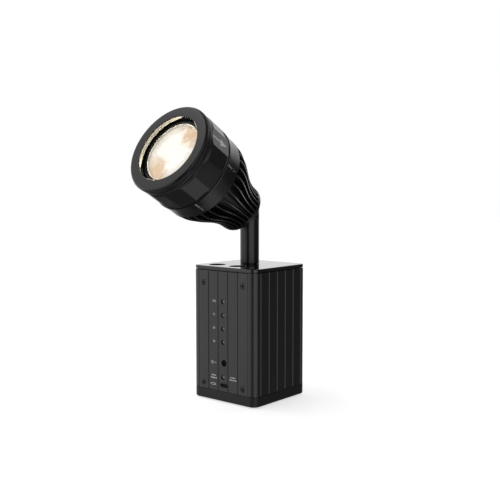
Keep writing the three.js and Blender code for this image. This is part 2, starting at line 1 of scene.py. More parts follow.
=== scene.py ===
"""Looks for a battery follow spot: the detailed pieces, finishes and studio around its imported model.

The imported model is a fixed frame. Each operator builds one piece, or one group of like pieces, in millimetres
in the object's own frame: +Z up, the panel facing -Y, the origin under the middle of the base. Pieces of the
lamp head are shaped about the head's own axis, where +Z is the way the light goes and 0 is the tilt pivot.
"""

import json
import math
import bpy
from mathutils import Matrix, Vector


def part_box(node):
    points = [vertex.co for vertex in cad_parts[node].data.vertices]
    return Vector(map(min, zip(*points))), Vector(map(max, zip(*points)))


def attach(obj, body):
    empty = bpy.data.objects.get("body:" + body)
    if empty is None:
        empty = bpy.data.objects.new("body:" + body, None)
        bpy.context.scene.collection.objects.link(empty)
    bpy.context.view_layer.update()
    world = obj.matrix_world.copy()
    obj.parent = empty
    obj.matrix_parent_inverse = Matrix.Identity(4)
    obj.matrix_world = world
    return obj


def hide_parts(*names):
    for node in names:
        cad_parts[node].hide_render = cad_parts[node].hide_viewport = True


bl_info = {
    "name": "Battery follow spot",
    "version": (1, 0, 0),
    "blender": (4, 5, 0),
    "location": "View3D > Sidebar > Follow spot",
    "description": "Builds the pieces, finishes and studio of a battery follow spot",
    "category": "Object",
}

import bmesh
import bpy
from bpy.props import FloatProperty, FloatVectorProperty, IntProperty, PointerProperty
from mathutils import Matrix, Vector

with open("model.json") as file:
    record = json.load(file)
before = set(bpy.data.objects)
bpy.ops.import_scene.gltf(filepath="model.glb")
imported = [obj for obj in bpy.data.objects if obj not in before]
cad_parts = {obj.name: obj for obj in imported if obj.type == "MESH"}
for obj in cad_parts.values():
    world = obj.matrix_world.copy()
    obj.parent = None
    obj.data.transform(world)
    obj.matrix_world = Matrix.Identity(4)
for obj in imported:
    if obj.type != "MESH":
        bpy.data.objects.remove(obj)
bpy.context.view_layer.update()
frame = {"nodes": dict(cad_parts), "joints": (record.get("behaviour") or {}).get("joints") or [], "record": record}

MM = 0.001
GAP = 0.3  # clearance between neighbouring pieces

MATERIALS = {}  # every finish, by name
TREES = {}  # the geometry node trees that copy a shape
GROUPS = {}  # the shader groups that finishes share

# ---------------------------------------------------------------- sizes of the base, in millimetres


def node_box(node):
    """Lowest and highest corner of a CAD node, in millimetres."""
    low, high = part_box(node)
    return low / MM, high / MM


HOUSING_LOW, HOUSING_HIGH = node_box("base_housing")
PANEL_LOW, PANEL_HIGH = node_box("front_panel")
PLATE_LOW, PLATE_HIGH = node_box("top_plate")
CAP_LOW, CAP_HIGH = node_box("bottom_cap")
PAD_LOW, PAD_HIGH = node_box("foot_pad")

BASE_WIDTH = HOUSING_HIGH.x - HOUSING_LOW.x
FACE = BASE_WIDTH / 2
CORNER_R = 6.9
WALL = 3
BASE_TOP = PLATE_HIGH.z
SLAB_BOTTOM = BASE_TOP - 2.95
GROOVE_PITCH = 11.88
GROOVE_DEPTH = 0.45
PANEL_BACK = PANEL_HIGH.y
LAMP_HOLE_R = 2.2
POWER_KEY_R = 2.8
PORT_CUT = (9.9, 4.0)  # width and height of the charging socket's hole in the panel
SCREW_POCKET_R = 2.8
SCREW_HOLE_R = 1.8
TOP_BUTTON_R = 7.6
SPIGOT_R = 6.5
LAMP_NODES = [f"level_lamp_{k}" for k in range(1, 5)] + ["charge_lamp"]

# ---------------------------------------------------------------- sizes of the post and head, in millimetres

POST_R = 8.95
LAP_REACH = POST_R + 0.35
LAP_HALF_GAP = 0.6
PIVOT_BOLT_R = 1.8
BOLT_HEAD_R = 3.1
BOLT_HEAD_SEAT = 5.5
TILT_JOINT = next(joint for joint in frame["joints"] if joint["name"] == "tilt")
ZOOM_JOINT = next(joint for joint in frame["joints"] if joint["name"] == "zoom")
PIVOT_Z = TILT_JOINT["pos_m"][2] / MM
BEAM = Vector(ZOOM_JOINT["axis"])
HEAD_TILT = math.asin(BEAM.z)
HEAD_FRAME = Matrix.Translation((0, 0, PIVOT_Z * MM)) @ Matrix.Rotation(math.pi / 2 - HEAD_TILT, 4, "X")

TAIL = 15.5
TAIL_RING = 19.5
TAIL_R = 22.9
BAND_REAR = 74.7
BAND_R = 40.4
BAND_FRONT = 90.6
BAND_FRONT_R = 41.3
BARREL_REAR = 91.2
BARREL_FRONT = 114.7
BARREL_R = 41.4
SLEEVE_R = 33.5
SLEEVE_BORE = 31.2
SLEEVE_FRONT = 110.5
BEZEL_REAR = 118.2
HEAD_FRONT = 122.8
APERTURE_R = 30.8
FACET_PAIRS = 8
WIDE_FLAT = 40.47
NARROW_FLAT = 40.75
ARROW_ANGLE = 23.6
LENS_R = 28.6
LENS_SEAT = 115.3
CARRIER_R = APERTURE_R - 0.4
LIT_R = LENS_R - 0.4
GUIDE_STATION = 100
STUB_SCREW_CIRCLE = 11.4
WIRE_BORE_R = 3.5
FLANGE_FRONT = TAIL - GAP
FLANGE_BACK = FLANGE_FRONT - 2.8
FLANGE_R = 14.6
CLEAR_R = 26.6
LENS_BACK = 111.4

# ---------------------------------------------------------------- settings a user would change


class BaseSettings(bpy.types.PropertyGroup):
    """Sizes and colours of the battery base"""

    groove_width: FloatProperty(
        name="Groove width", description="Width of the grooves in the housing",
        subtype="DISTANCE", unit="LENGTH", precision=5,
        default=0.001, min=0.0003, max=0.003,
    )
    edge: FloatProperty(
        name="Edge softness", description="Width of the small rounding on machined edges",
        subtype="DISTANCE", unit="LENGTH", precision=5,
        default=0.00022, min=0.00005, max=0.001,
    )
    label_height: FloatProperty(
        name="Label height", description="Height of the printed numbers",
        subtype="DISTANCE", unit="LENGTH", precision=5,
        default=0.002, min=0.001, max=0.006,
    )
    body_colour: FloatVectorProperty(
        name="Body colour", description="Colour of the anodised housing and head", subtype="COLOR",
        size=3, default=(0.0028, 0.0028, 0.003), min=0, max=1,
    )
    print_colour: FloatVectorProperty(
        name="Print colour", description="Colour of the printed marks", subtype="COLOR",
        size=3, default=(0.42, 0.42, 0.43), min=0, max=1,
    )


class HeadSettings(bpy.types.PropertyGroup):
    """Sizes of the lamp head"""

    fin_count: IntProperty(
        name="Fins", description="Number of cooling fins round the head", default=32, min=8, max=64,
    )
    fin_thickness: FloatProperty(
        name="Fin thickness", description="Thickness of each cooling fin",
        subtype="DISTANCE", unit="LENGTH", precision=5,
        default=0.0015, min=0.0005, max=0.003,
    )
    rib_count: IntProperty(
        name="Grip ribs", description="Number of fine ribs round the front bezel",
        default=180, min=30, max=360,
    )
    glow: FloatProperty(
        name="Lamp glow", description="Strength of the light that shows in the lens",
        default=1.0, min=0, max=10,
    )


class StudioSettings(bpy.types.PropertyGroup):
    """Camera and light of the studio"""

    lens: FloatProperty(
        name="Lens", description="Focal length of the camera", subtype="DISTANCE_CAMERA",
        unit="CAMERA", default=58.57, min=20, max=200,
    )
    azimuth: FloatProperty(
        name="Camera turn", description="Turn of the camera round the lamp, from in front of the panel",
        subtype="ANGLE", unit="ROTATION", default=math.radians(40.08),
    )
    dip: FloatProperty(
        name="Camera dip", description="How far the camera looks down",
        subtype="ANGLE", unit="ROTATION", default=math.radians(4.645),
    )
    place: FloatVectorProperty(
        name="Camera place", description="Where the camera stands", subtype="TRANSLATION", unit="LENGTH",
        size=3, default=(0.4923, -0.5846, 0.2009),
    )
    softbox: FloatProperty(
        name="Softbox light", description="Brightness of the soft walls of light",
        default=1.15, min=0, max=10,
    )


# ---------------------------------------------------------------- shaping helpers


def new_object(name, mesh):
    obj = bpy.data.objects.new(name, mesh)
    bpy.context.scene.collection.objects.link(obj)
    return obj


def from_bmesh(bm, name="shape"):
    bmesh.ops.recalc_face_normals(bm, faces=bm.faces)
    mesh = bpy.data.meshes.new(name)
    bm.to_mesh(mesh)
    bm.free()
    return new_object(name, mesh)


def bake(obj):
    """Turns the object and its modifiers into a plain mesh."""
    graph = bpy.context.evaluated_depsgraph_get()
    mesh = bpy.data.meshes.new_from_object(obj.evaluated_get(graph), depsgraph=graph)
    obj.modifiers.clear()
    old = obj.data
    obj.data = mesh
    bpy.data.meshes.remove(old)
    return obj


def lathe(profile, steps=96):
    """A solid turned about Z from (radius, height) points, closed unless they start on the axis."""
    bm = bmesh.new()
    rings = []
    for r, z in profile:
        if r < 1e-6:
            rings.append([bm.verts.new((0, 0, z * MM))] * steps)
            continue
        turn = [2 * math.pi * k / steps for k in range(steps)]
        rings.append([bm.verts.new((r * MM * math.cos(a), r * MM * math.sin(a), z * MM)) for a in turn])
    if profile[0][0] > 1e-6:
        rings.append(rings[0])
    for low, high in zip(rings, rings[1:]):
        for k in range(steps):
            n = (k + 1) % steps
            corners = list(dict.fromkeys([low[k], low[n], high[n], high[k]]))
            if len(corners) > 2:
                bm.faces.new(corners)
    return from_bmesh(bm)


def ring(inner, outer, z0, z1, steps=96):
    return lathe([(inner, z0), (outer, z0), (outer, z1), (inner, z1)], steps)


def bridged(rings):
    """A closed solid through equal rings of points, with flat ends."""
    bm = bmesh.new()
    loops = [[bm.verts.new(Vector(p) * MM) for p in points] for points in rings]
    for low, high in zip(loops, loops[1:]):
        for k in range(len(low)):
            n = (k + 1) % len(low)
            bm.faces.new([low[k], low[n], high[n], high[k]])
    bm.faces.new(loops[0])
    bm.faces.new(loops[-1])
    return from_bmesh(bm)


def block(low, high):
    (x0, y0, z0), (x1, y1, z1) = low, high
    return bridged([[(x0, y0, z), (x1, y0, z), (x1, y1, z), (x0, y1, z)] for z in (z0, z1)])


def arc(cx, cy, r, start, end, steps):
    """Points of an arc in the plane, from start to end degrees."""
    angles = [math.radians(start + (end - start) * k / steps) for k in range(steps + 1)]
    return [(cx + r * math.cos(a), cy + r * math.sin(a)) for a in angles]


def rounded_square(width, radius, steps=12):
    h = width / 2 - radius
    corners = [(1, -1, -90), (1, 1, 0), (-1, 1, 90), (-1, -1, 180)]
    points = []
    for sx, sy, start in corners:
        points += arc(sx * h, sy * h, radius, start, start + 90, steps)
    return points


def square_loft(width, radius, profile, steps=12):
    """A rounded-square solid through (inset, height) steps, with flat ends."""
    rings = []
    for inset, z in profile:
        outline = rounded_square(width - 2 * inset, max(radius - inset, 0.2), steps)
        rings.append([(x, y, z) for x, y in outline])
    return bridged(rings)


def rod(axis, r, a, b, centre=(0, 0), steps=48):
    """A round bar from a to b along an axis letter, centred on the other two axes, in x, y, z order."""
    u, v = centre
    points = arc(0, 0, r, 0, 360, steps)[:-1]
    place = {
        "x": lambda p, q, t: (t, u + p, v + q),
        "y": lambda p, q, t: (u + p, t, v + q),
        "z": lambda p, q, t: (u + p, v + q, t),
    }[axis]
    return bridged([[place(p, q, t) for p, q in points] for t in (a, b)])


def placed(obj, matrix):
    obj.data.transform(matrix)
    return obj


def in_head(obj):
    """Takes a piece from the head's own frame to the object's."""
    return placed(obj, HEAD_FRAME)


def spun(obj, degrees):
    return placed(obj, Matrix.Rotation(math.radians(degrees), 4, "Z"))


def joined(objects):
    """One object that holds the meshes of all of them, keeping their materials."""
    first, *others = objects
    slots = list(first.data.materials)
    bm = bmesh.new()
    bm.from_mesh(first.data)
    for obj in others:
        start = len(bm.faces)
        remap = []
        for material in obj.data.materials:
            if material not in slots:
                slots.append(material)
            remap.append(slots.index(material))
        bm.from_mesh(obj.data)
        bm.faces.ensure_lookup_table()
        for face in bm.faces[start:]:
            face.material_index = remap[face.material_index] if remap else 0
        bpy.data.objects.remove(obj)
    bm.to_mesh(first.data)
    bm.free()
    for material in slots[len(first.data.materials):]:
        first.data.materials.append(material)
    return first


def carve(obj, tool, operation="DIFFERENCE"):
    """Cuts the tool from the object, or joins or intersects them, and removes the tool."""
    modifier = obj.modifiers.new("carve", "BOOLEAN")
    modifier.object = tool
    modifier.operation = operation
    modifier.solver = "EXACT"
    bake(obj)
    bpy.data.objects.remove(tool)
    return obj


def soften(obj, width, segments=2, angle=40):
    """Rounds the edges sharper than the angle, by a width in millimetres."""
    modifier = obj.modifiers.new("soften", "BEVEL")
    modifier.width = width * MM
    modifier.segments = segments
    modifier.limit_method = "ANGLE"
    modifier.angle_limit = math.radians(angle)
    modifier.use_clamp_overlap = True
    return bake(obj)


def shaded(obj, angle=30):
    """Smooth shading that breaks at edges sharper than the angle and keeps the broad faces flat."""
    for polygon in obj.data.polygons:
        polygon.use_smooth = True
    obj.data.set_sharp_from_angle(angle=math.radians(angle))
    modifier = obj.modifiers.new("flat faces", "WEIGHTED_NORMAL")
    modifier.keep_sharp = True
    modifier.weight = 80
    return bake(obj)


def hand_over(obj, name, body, nodes=(), finish=None, angle=30):
    """Names a finished piece, paints it, and puts it on its body in place of the CAD nodes."""
    obj.name = name
    obj.data.name = name
    shaded(obj, angle)
    if finish is not None:
        obj.data.materials.clear()
        obj.data.materials.append(MATERIALS[finish])
    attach(obj, body)
    if nodes:
        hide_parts(*nodes)
    return obj


# ---------------------------------------------------------------- geometry node trees


def math_node(tree, operation, first, second=None, third=None, clamp=False):
    """The result of a Math node that is fed by sockets or numbers."""
    node = tree.nodes.new("ShaderNodeMath")
    node.operation = operation
    node.use_clamp = clamp
    for socket, value in zip(node.inputs, (first, second, third)):
        if isinstance(value, bpy.types.NodeSocket):
            tree.links.new(value, socket)
        elif value is not None:
            socket.default_value = value
    return node.outputs["Value"]


def node_tree(name, sockets):
    """A geometry tree with named inputs, its input node and its output node."""
    tree = bpy.data.node_groups.new(name, "GeometryNodeTree")
    for label, kind in sockets:
        tree.interface.new_socket(name=label, in_out="INPUT", socket_type=kind)
    tree.interface.new_socket(name="Geometry", in_out="OUTPUT", socket_type="NodeSocketGeometry")
    return tree, tree.nodes.new("NodeGroupInput"), tree.nodes.new("NodeGroupOutput")


def close_tree(tree, instances, inputs, output):
    """Ends a tree in Realize Instances and Set Material."""
    real = tree.nodes.new("GeometryNodeRealizeInstances")
    paint = tree.nodes.new("GeometryNodeSetMaterial")
    tree.links.new(instances.outputs["Instances"], real.inputs["Geometry"])
    tree.links.new(real.outputs["Geometry"], paint.inputs["Geometry"])
    tree.links.new(inputs.outputs["Finish"], paint.inputs["Material"])
    tree.links.new(paint.outputs["Geometry"], output.inputs["Geometry"])


def shape_source(tree, inputs):
    source = tree.nodes.new("GeometryNodeObjectInfo")
    tree.links.new(inputs.outputs["Shape"], source.inputs["Object"])
    return source


def round_tree():
    """Copies of a shape turned about Z in equal steps."""
    tree, inputs, output = node_tree("Copies in a circle", [
        ("Shape", "NodeSocketObject"), ("Count", "NodeSocketInt"), ("Start", "NodeSocketFloat"),
        ("Finish", "NodeSocketMaterial"),
    ])
    line = tree.nodes.new("GeometryNodeMeshLine")
    line.inputs["Offset"].default_value = (0, 0, 0)
    index = tree.nodes.new("GeometryNodeInputIndex")
    step = math_node(tree, "DIVIDE", 2 * math.pi, inputs.outputs["Count"])
    turn = math_node(tree, "MULTIPLY_ADD", index.outputs["Index"], step, inputs.outputs["Start"])
    angles = tree.nodes.new("ShaderNodeCombineXYZ")
    instances = tree.nodes.new("GeometryNodeInstanceOnPoints")
    link = tree.links.new
    link(inputs.outputs["Count"], line.inputs["Count"])
    link(turn, angles.inputs["Z"])
    link(line.outputs["Mesh"], instances.inputs["Points"])
    link(shape_source(tree, inputs).outputs["Geometry"], instances.inputs["Instance"])
    link(angles.outputs["Vector"], instances.inputs["Rotation"])
    close_tree(tree, instances, inputs, output)
    return tree


def places_tree():
    """Copies of a shape on every point of the object that carries the tree."""
    tree, inputs, output = node_tree("Copies on places", [
        ("Places", "NodeSocketGeometry"), ("Shape", "NodeSocketObject"), ("Finish", "NodeSocketMaterial"),
    ])
    instances = tree.nodes.new("GeometryNodeInstanceOnPoints")
    tree.links.new(inputs.outputs["Places"], instances.inputs["Points"])
    tree.links.new(shape_source(tree, inputs).outputs["Geometry"], instances.inputs["Instance"])
    close_tree(tree, instances, inputs, output)
    return tree


def grown(carrier, tree, **values):
    """Runs a tree on the carrier with its named inputs set, and leaves a plain mesh."""
    modifier = carrier.modifiers.new("copies", "NODES")
    modifier.node_group = tree
    for item in tree.interface.items_tree:
        if item.in_out == "INPUT" and item.name in values:
            modifier[item.identifier] = values[item.name]
    bake(carrier)
    bpy.data.objects.remove(values["Shape"])
    return carrier


def copies_in_circle(shape, count, start, finish):
    carrier = new_object("carrier", bpy.data.meshes.new("carrier"))
    start = math.radians(start)
    return grown(carrier, TREES["circle"], Shape=shape, Count=count, Start=start, Finish=finish)


def copies_on_places(shape, places, finish):
    mesh = bpy.data.meshes.new("carrier")
    mesh.from_pydata([Vector(p) * MM for p in places], [], [])
    return grown(new_object("carrier", mesh), TREES["places"], Shape=shape, Finish=finish)


# ---------------------------------------------------------------- shared shader groups


def shader_group(name, inputs, outputs):
    group = bpy.data.node_groups.new(name, "ShaderNodeTree")
    for label, value in inputs:
        socket = group.interface.new_socket(name=label, in_out="INPUT", socket_type="NodeSocketFloat")
        socket.default_value = value
    for label in outputs:
        group.interface.new_socket(name=label, in_out="OUTPUT", socket_type="NodeSocketFloat")
    return group, group.nodes.new("NodeGroupInput"), group.nodes.new("NodeGroupOutput")


def smooth_step(tree, value, low, high):
    """Rises smoothly from 0 to 1 as the value goes from low to high."""
    node = tree.nodes.new("ShaderNodeMapRange")
    node.interpolation_type = "SMOOTHSTEP"
    node.inputs["From Min"].default_value = low
    node.inputs["From Max"].default_value = high
    tree.links.new(value, node.inputs["Value"])
    return node.outputs["Result"]


def grain_group():
    """Fine, even grain, as blasting or moulding leaves, and slow blotches that change the sheen."""
    group, given, result = shader_group(
        "Grain", [("Fine scale", 2400), ("Blotch scale", 45), ("Blotch", 0.05), ("Stretch", 1)],
        ["Height", "Sheen", "Shade"],
    )
    place = group.nodes.new("ShaderNodeTexCoord")
    stretch = group.nodes.new("ShaderNodeCombineXYZ")
    stretch.inputs["X"].default_value = 1
    stretch.inputs["Y"].default_value = 1
    scaled = group.nodes.new("ShaderNodeVectorMath")
    scaled.operation = "MULTIPLY"
    fine = group.nodes.new("ShaderNodeTexNoise")
    fine.inputs["Detail"].default_value = 2
    blotch = group.nodes.new("ShaderNodeTexNoise")
    blotch.inputs["Detail"].default_value = 4
    blotch.inputs["Roughness"].default_value = 0.6
    link = group.links.new
    link(given.outputs["Stretch"], stretch.inputs["Z"])
    link(place.outputs["Object"], scaled.inputs[0])
    link(stretch.outputs["Vector"], scaled.inputs[1])
    for noise, scale in ((fine, "Fine scale"), (blotch, "Blotch scale")):
        link(scaled.outputs["Vector"], noise.inputs["Vector"])
        link(given.outputs[scale], noise.inputs["Scale"])
    link(fine.outputs["Fac"], result.inputs["Height"])
    centred = math_node(group, "SUBTRACT", blotch.outputs["Fac"], 0.5)
    link(math_node(group, "MULTIPLY", centred, given.outputs["Blotch"]), result.inputs["Sheen"])
    mixed = math_node(group, "ADD", blotch.outputs["Fac"], fine.outputs["Fac"])
    link(math_node(group, "SUBTRACT", mixed, 0.5), result.inputs["Shade"])
    return group


def wear_group():
    """A mask of the worn, outward edges, broken up by noise."""
    group, given, result = shader_group("Edge wear", [("Amount", 0.5), ("Break up", 900)], ["Mask"])
    geometry = group.nodes.new("ShaderNodeNewGeometry")
    place = group.nodes.new("ShaderNodeTexCoord")
    noise = group.nodes.new("ShaderNodeTexNoise")
    noise.inputs["Detail"].default_value = 3
    edge = group.nodes.new("ShaderNodeMapRange")
    edge.inputs["From Min"].default_value = 0.54
    edge.inputs["From Max"].default_value = 0.66
    link = group.links.new
    link(place.outputs["Object"], noise.inputs["Vector"])
    link(given.outputs["Break up"], noise.inputs["Scale"])
    link(geometry.outputs["Pointiness"], edge.inputs["Value"])
    broken = math_node(group, "MULTIPLY", edge.outputs["Result"], noise.outputs["Fac"])
    link(math_node(group, "MULTIPLY", broken, given.outputs["Amount"], clamp=True), result.inputs["Mask"])
    return group


def dust_group():
    """A thin mask of settled specks on faces that look up."""
    group, given, result = shader_group("Settled dust", [("Amount", 0.3), ("Speck scale", 1400)], ["Mask"])
    geometry = group.nodes.new("ShaderNodeNewGeometry")
    normal = group.nodes.new("ShaderNodeSeparateXYZ")
    place = group.nodes.new("ShaderNodeTexCoord")
    specks = group.nodes.new("ShaderNodeTexNoise")
    specks.inputs["Detail"].default_value = 5
    specks.inputs["Roughness"].default_value = 0.7
    pick = group.nodes.new("ShaderNodeMapRange")
    pick.inputs["From Min"].default_value = 0.6
    pick.inputs["From Max"].default_value = 0.8
    link = group.links.new
    link(geometry.outputs["True Normal"], normal.inputs["Vector"])
    link(place.outputs["Object"], specks.inputs["Vector"])
    link(given.outputs["Speck scale"], specks.inputs["Scale"])
    link(specks.outputs["Fac"], pick.inputs["Value"])
    upward = math_node(group, "MAXIMUM", normal.outputs["Z"], 0.0)
    dusty = math_node(group, "MULTIPLY", upward, pick.outputs["Result"])
    link(math_node(group, "MULTIPLY", dusty, given.outputs["Amount"]), result.inputs["Mask"])
    return group


# ---------------------------------------------------------------- materials


WORN_METAL = (0.3, 0.3, 0.31)
DUST = (0.35, 0.34, 0.32)
MIRRORED_GLOW = (13.0, 11.8, 9.0)  # the lamp as polished walls mirror it


def place_group(tree, group, **values):
    """A shared group in a material, with this material's own values."""
    node = tree.nodes.new("ShaderNodeGroup")
    node.node_tree = group
    for label, value in values.items():
        node.inputs[label.replace("_", " ")].default_value = value
    return node


def mix_colour(tree, factor, first, second):
    node = tree.nodes.new("ShaderNodeMix")
    node.data_type = "RGBA"
    sockets = {"A": first, "B": second}
    for label, value in sockets.items():
        socket = next(s for s in node.inputs if s.name == label and s.type == "RGBA")
        if isinstance(value, bpy.types.NodeSocket):
            tree.links.new(value, socket)
        else:
            socket.default_value = (*value, 1)
    factor_socket = next(s for s in node.inputs if s.name == "Factor" and s.type == "VALUE")
    tree.links.new(factor, factor_socket)
    return next(s for s in node.outputs if s.type == "RGBA")


def surface(name, colour, roughness, metallic=0.0, ior=1.5, fine=2400, depth=0.02, blotch=0.06, stretch=1,
            wear=0.0, dust=0.0, shade=1.5, coat=0.0, gloss=0.5):
    """A solid finish with grain, uneven sheen, worn edges and a little dust."""
    material = bpy.data.materials.new(name)
    material.use_nodes = True
    tree = material.node_tree
    shader = tree.nodes["Principled BSDF"]
    shader.inputs["Metallic"].default_value = metallic
    shader.inputs["IOR"].default_value = ior
    shader.inputs["Specular IOR Level"].default_value = gloss
    shader.inputs["Coat Weight"].default_value = coat
    shader.inputs["Coat Roughness"].default_value = 0.05
    grain = place_group(tree, GROUPS["grain"], Fine_scale=fine, Blotch=blotch, Stretch=stretch)
    light = tuple(min(1, c * shade) for c in colour)
    paint = mix_colour(tree, grain.outputs["Shade"], colour, light)
    rough = math_node(tree, "ADD", grain.outputs["Sheen"], roughness, clamp=True)
    if wear:
        worn_edge = place_group(tree, GROUPS["wear"], Amount=wear)
        paint = mix_colour(tree, worn_edge.outputs["Mask"], paint, WORN_METAL)
    if dust:
        settled = place_group(tree, GROUPS["dust"], Amount=dust)
        paint = mix_colour(tree, settled.outputs["Mask"], paint, DUST)
        rough = math_node(tree, "ADD", rough, settled.outputs["Mask"], clamp=True)
    tree.links.new(paint, shader.inputs["Base Color"])
    tree.links.new(rough, shader.inputs["Roughness"])
    if depth:
        bump = tree.nodes.new("ShaderNodeBump")
        bump.inputs["Strength"].default_value = 0.35
        bump.inputs["Distance"].default_value = depth * MM
        tree.links.new(grain.outputs["Height"], bump.inputs["Height"])
        tree.links.new(bump.outputs["Normal"], shader.inputs["Normal"])
    return material


def banded(material, scale, dark, light):
    """Repaints a finish with wavy bands stacked along Z, such as a board's tracks or a cell's wrap."""
    tree = material.node_tree
    shader = tree.nodes["Principled BSDF"]
    wave = tree.nodes.new("ShaderNodeTexWave")
    wave.bands_direction = "Z"
    wave.inputs["Scale"].default_value = scale
    wave.inputs["Distortion"].default_value = 1.5
    place = tree.nodes.new("ShaderNodeTexCoord")
    tree.links.new(place.outputs["Object"], wave.inputs["Vector"])
    step = tree.nodes.new("ShaderNodeMapRange")
    step.inputs["From Min"].default_value = 0.75
    step.inputs["From Max"].default_value = 0.8
    tree.links.new(wave.outputs["Fac"], step.inputs["Value"])
    tree.links.new(mix_colour(tree, step.outputs["Result"], dark, light), shader.inputs["Base Color"])
    return material


def clear_glass():
    """Polished lens glass with a faint warm tint."""
    material = bpy.data.materials.new("lens_glass")
    material.use_nodes = True
    shader = material.node_tree.nodes["Principled BSDF"]
    shader.inputs["Base Color"].default_value = (1.0, 0.98, 0.95, 1)
    shader.inputs["Roughness"].default_value = 0.01
    shader.inputs["IOR"].default_value = 1.49
    shader.inputs["Transmission Weight"].default_value = 1
    return material


def lamp_glow(strength):
    """The lit lamp: a white pool, two warm patches and streaks out to a dark line and a bright rim."""
    material = bpy.data.materials.new("lamp_glow")
    material.use_nodes = True
    tree = material.node_tree
    link = tree.links.new
    shader = tree.nodes["Principled BSDF"]
    shader.inputs["Base Color"].default_value = (0, 0, 0, 1)
    shader.inputs["Specular IOR Level"].default_value = 0
    shader.inputs["Emission Strength"].default_value = strength
    place = tree.nodes.new("ShaderNodeTexCoord")
    to_head = tree.nodes.new("ShaderNodeMapping")
    inverse = HEAD_FRAME.inverted()
    to_head.inputs["Location"].default_value = inverse.to_translation()
    to_head.inputs["Rotation"].default_value = inverse.to_euler()
    link(place.outputs["Object"], to_head.inputs["Vector"])
    axes = tree.nodes.new("ShaderNodeSeparateXYZ")
    link(to_head.outputs["Vector"], axes.inputs["Vector"])
    x = math_node(tree, "DIVIDE", axes.outputs["X"], LIT_R * MM)
    y = math_node(tree, "DIVIDE", axes.outputs["Y"], LIT_R * MM)
    angle = math_node(tree, "ARCTAN2", y, x)
    squares = [math_node(tree, "MULTIPLY", side, side) for side in (x, y)]
    radius = math_node(tree, "SQRT", math_node(tree, "ADD", *squares))

    rays = tree.nodes.new("ShaderNodeTexNoise")
    rays.inputs["Scale"].default_value = 1
    rays.inputs["Detail"].default_value = 3
    ray_place = tree.nodes.new("ShaderNodeCombineXYZ")
    for label, wave in (("X", "COSINE"), ("Y", "SINE")):
        link(math_node(tree, "MULTIPLY", math_node(tree, wave, angle), 6.5), ray_place.inputs[label])
    link(math_node(tree, "MULTIPLY", radius, 0.9), ray_place.inputs["Z"])
    link(ray_place.outputs["Vector"], rays.inputs["Vector"])
    # Two opposite sectors turn warm towards the edge; the rest only fades a little.
    lean = math_node(tree, "SUBTRACT", angle, math.radians(52))
    sector = math_node(tree, "POWER", math_node(tree, "ABSOLUTE", math_node(tree, "COSINE", lean)), 4.5)
    patch = math_node(tree, "MULTIPLY", sector, smooth_step(tree, radius, 0.12, 0.62))
    streaks = math_node(tree, "MULTIPLY", rays.outputs["Fac"], 2.0)
    warm = smooth_step(tree, math_node(tree, "MULTIPLY", patch, streaks), 0.05, 0.95)
    fade = math_node(tree, "MULTIPLY", smooth_step(tree, radius, 0.45, 1.1), streaks, clamp=True)
    pool = mix_colour(tree, fade, (1.08, 1.06, 1.0), (0.84, 0.78, 0.66))
    pool = mix_colour(tree, warm, pool, (0.66, 0.45, 0.26))
    pool = mix_colour(tree, smooth_step(tree, radius, 0.93, 0.94), pool, (0.3, 0.27, 0.22))
    pool = mix_colour(tree, smooth_step(tree, radius, 0.955, 0.965), pool, (1.0, 0.97, 0.9))
    # A ray that has left a glossy surface finds a far brighter lamp than one that looks straight at it.
    path = tree.nodes.new("ShaderNodeLightPath")
    mirrored = math_node(tree, "MINIMUM", path.outputs["Glossy Depth"], 1.0)
    link(mix_colour(tree, mirrored, pool, MIRRORED_GLOW), shader.inputs["Emission Color"])
    return material


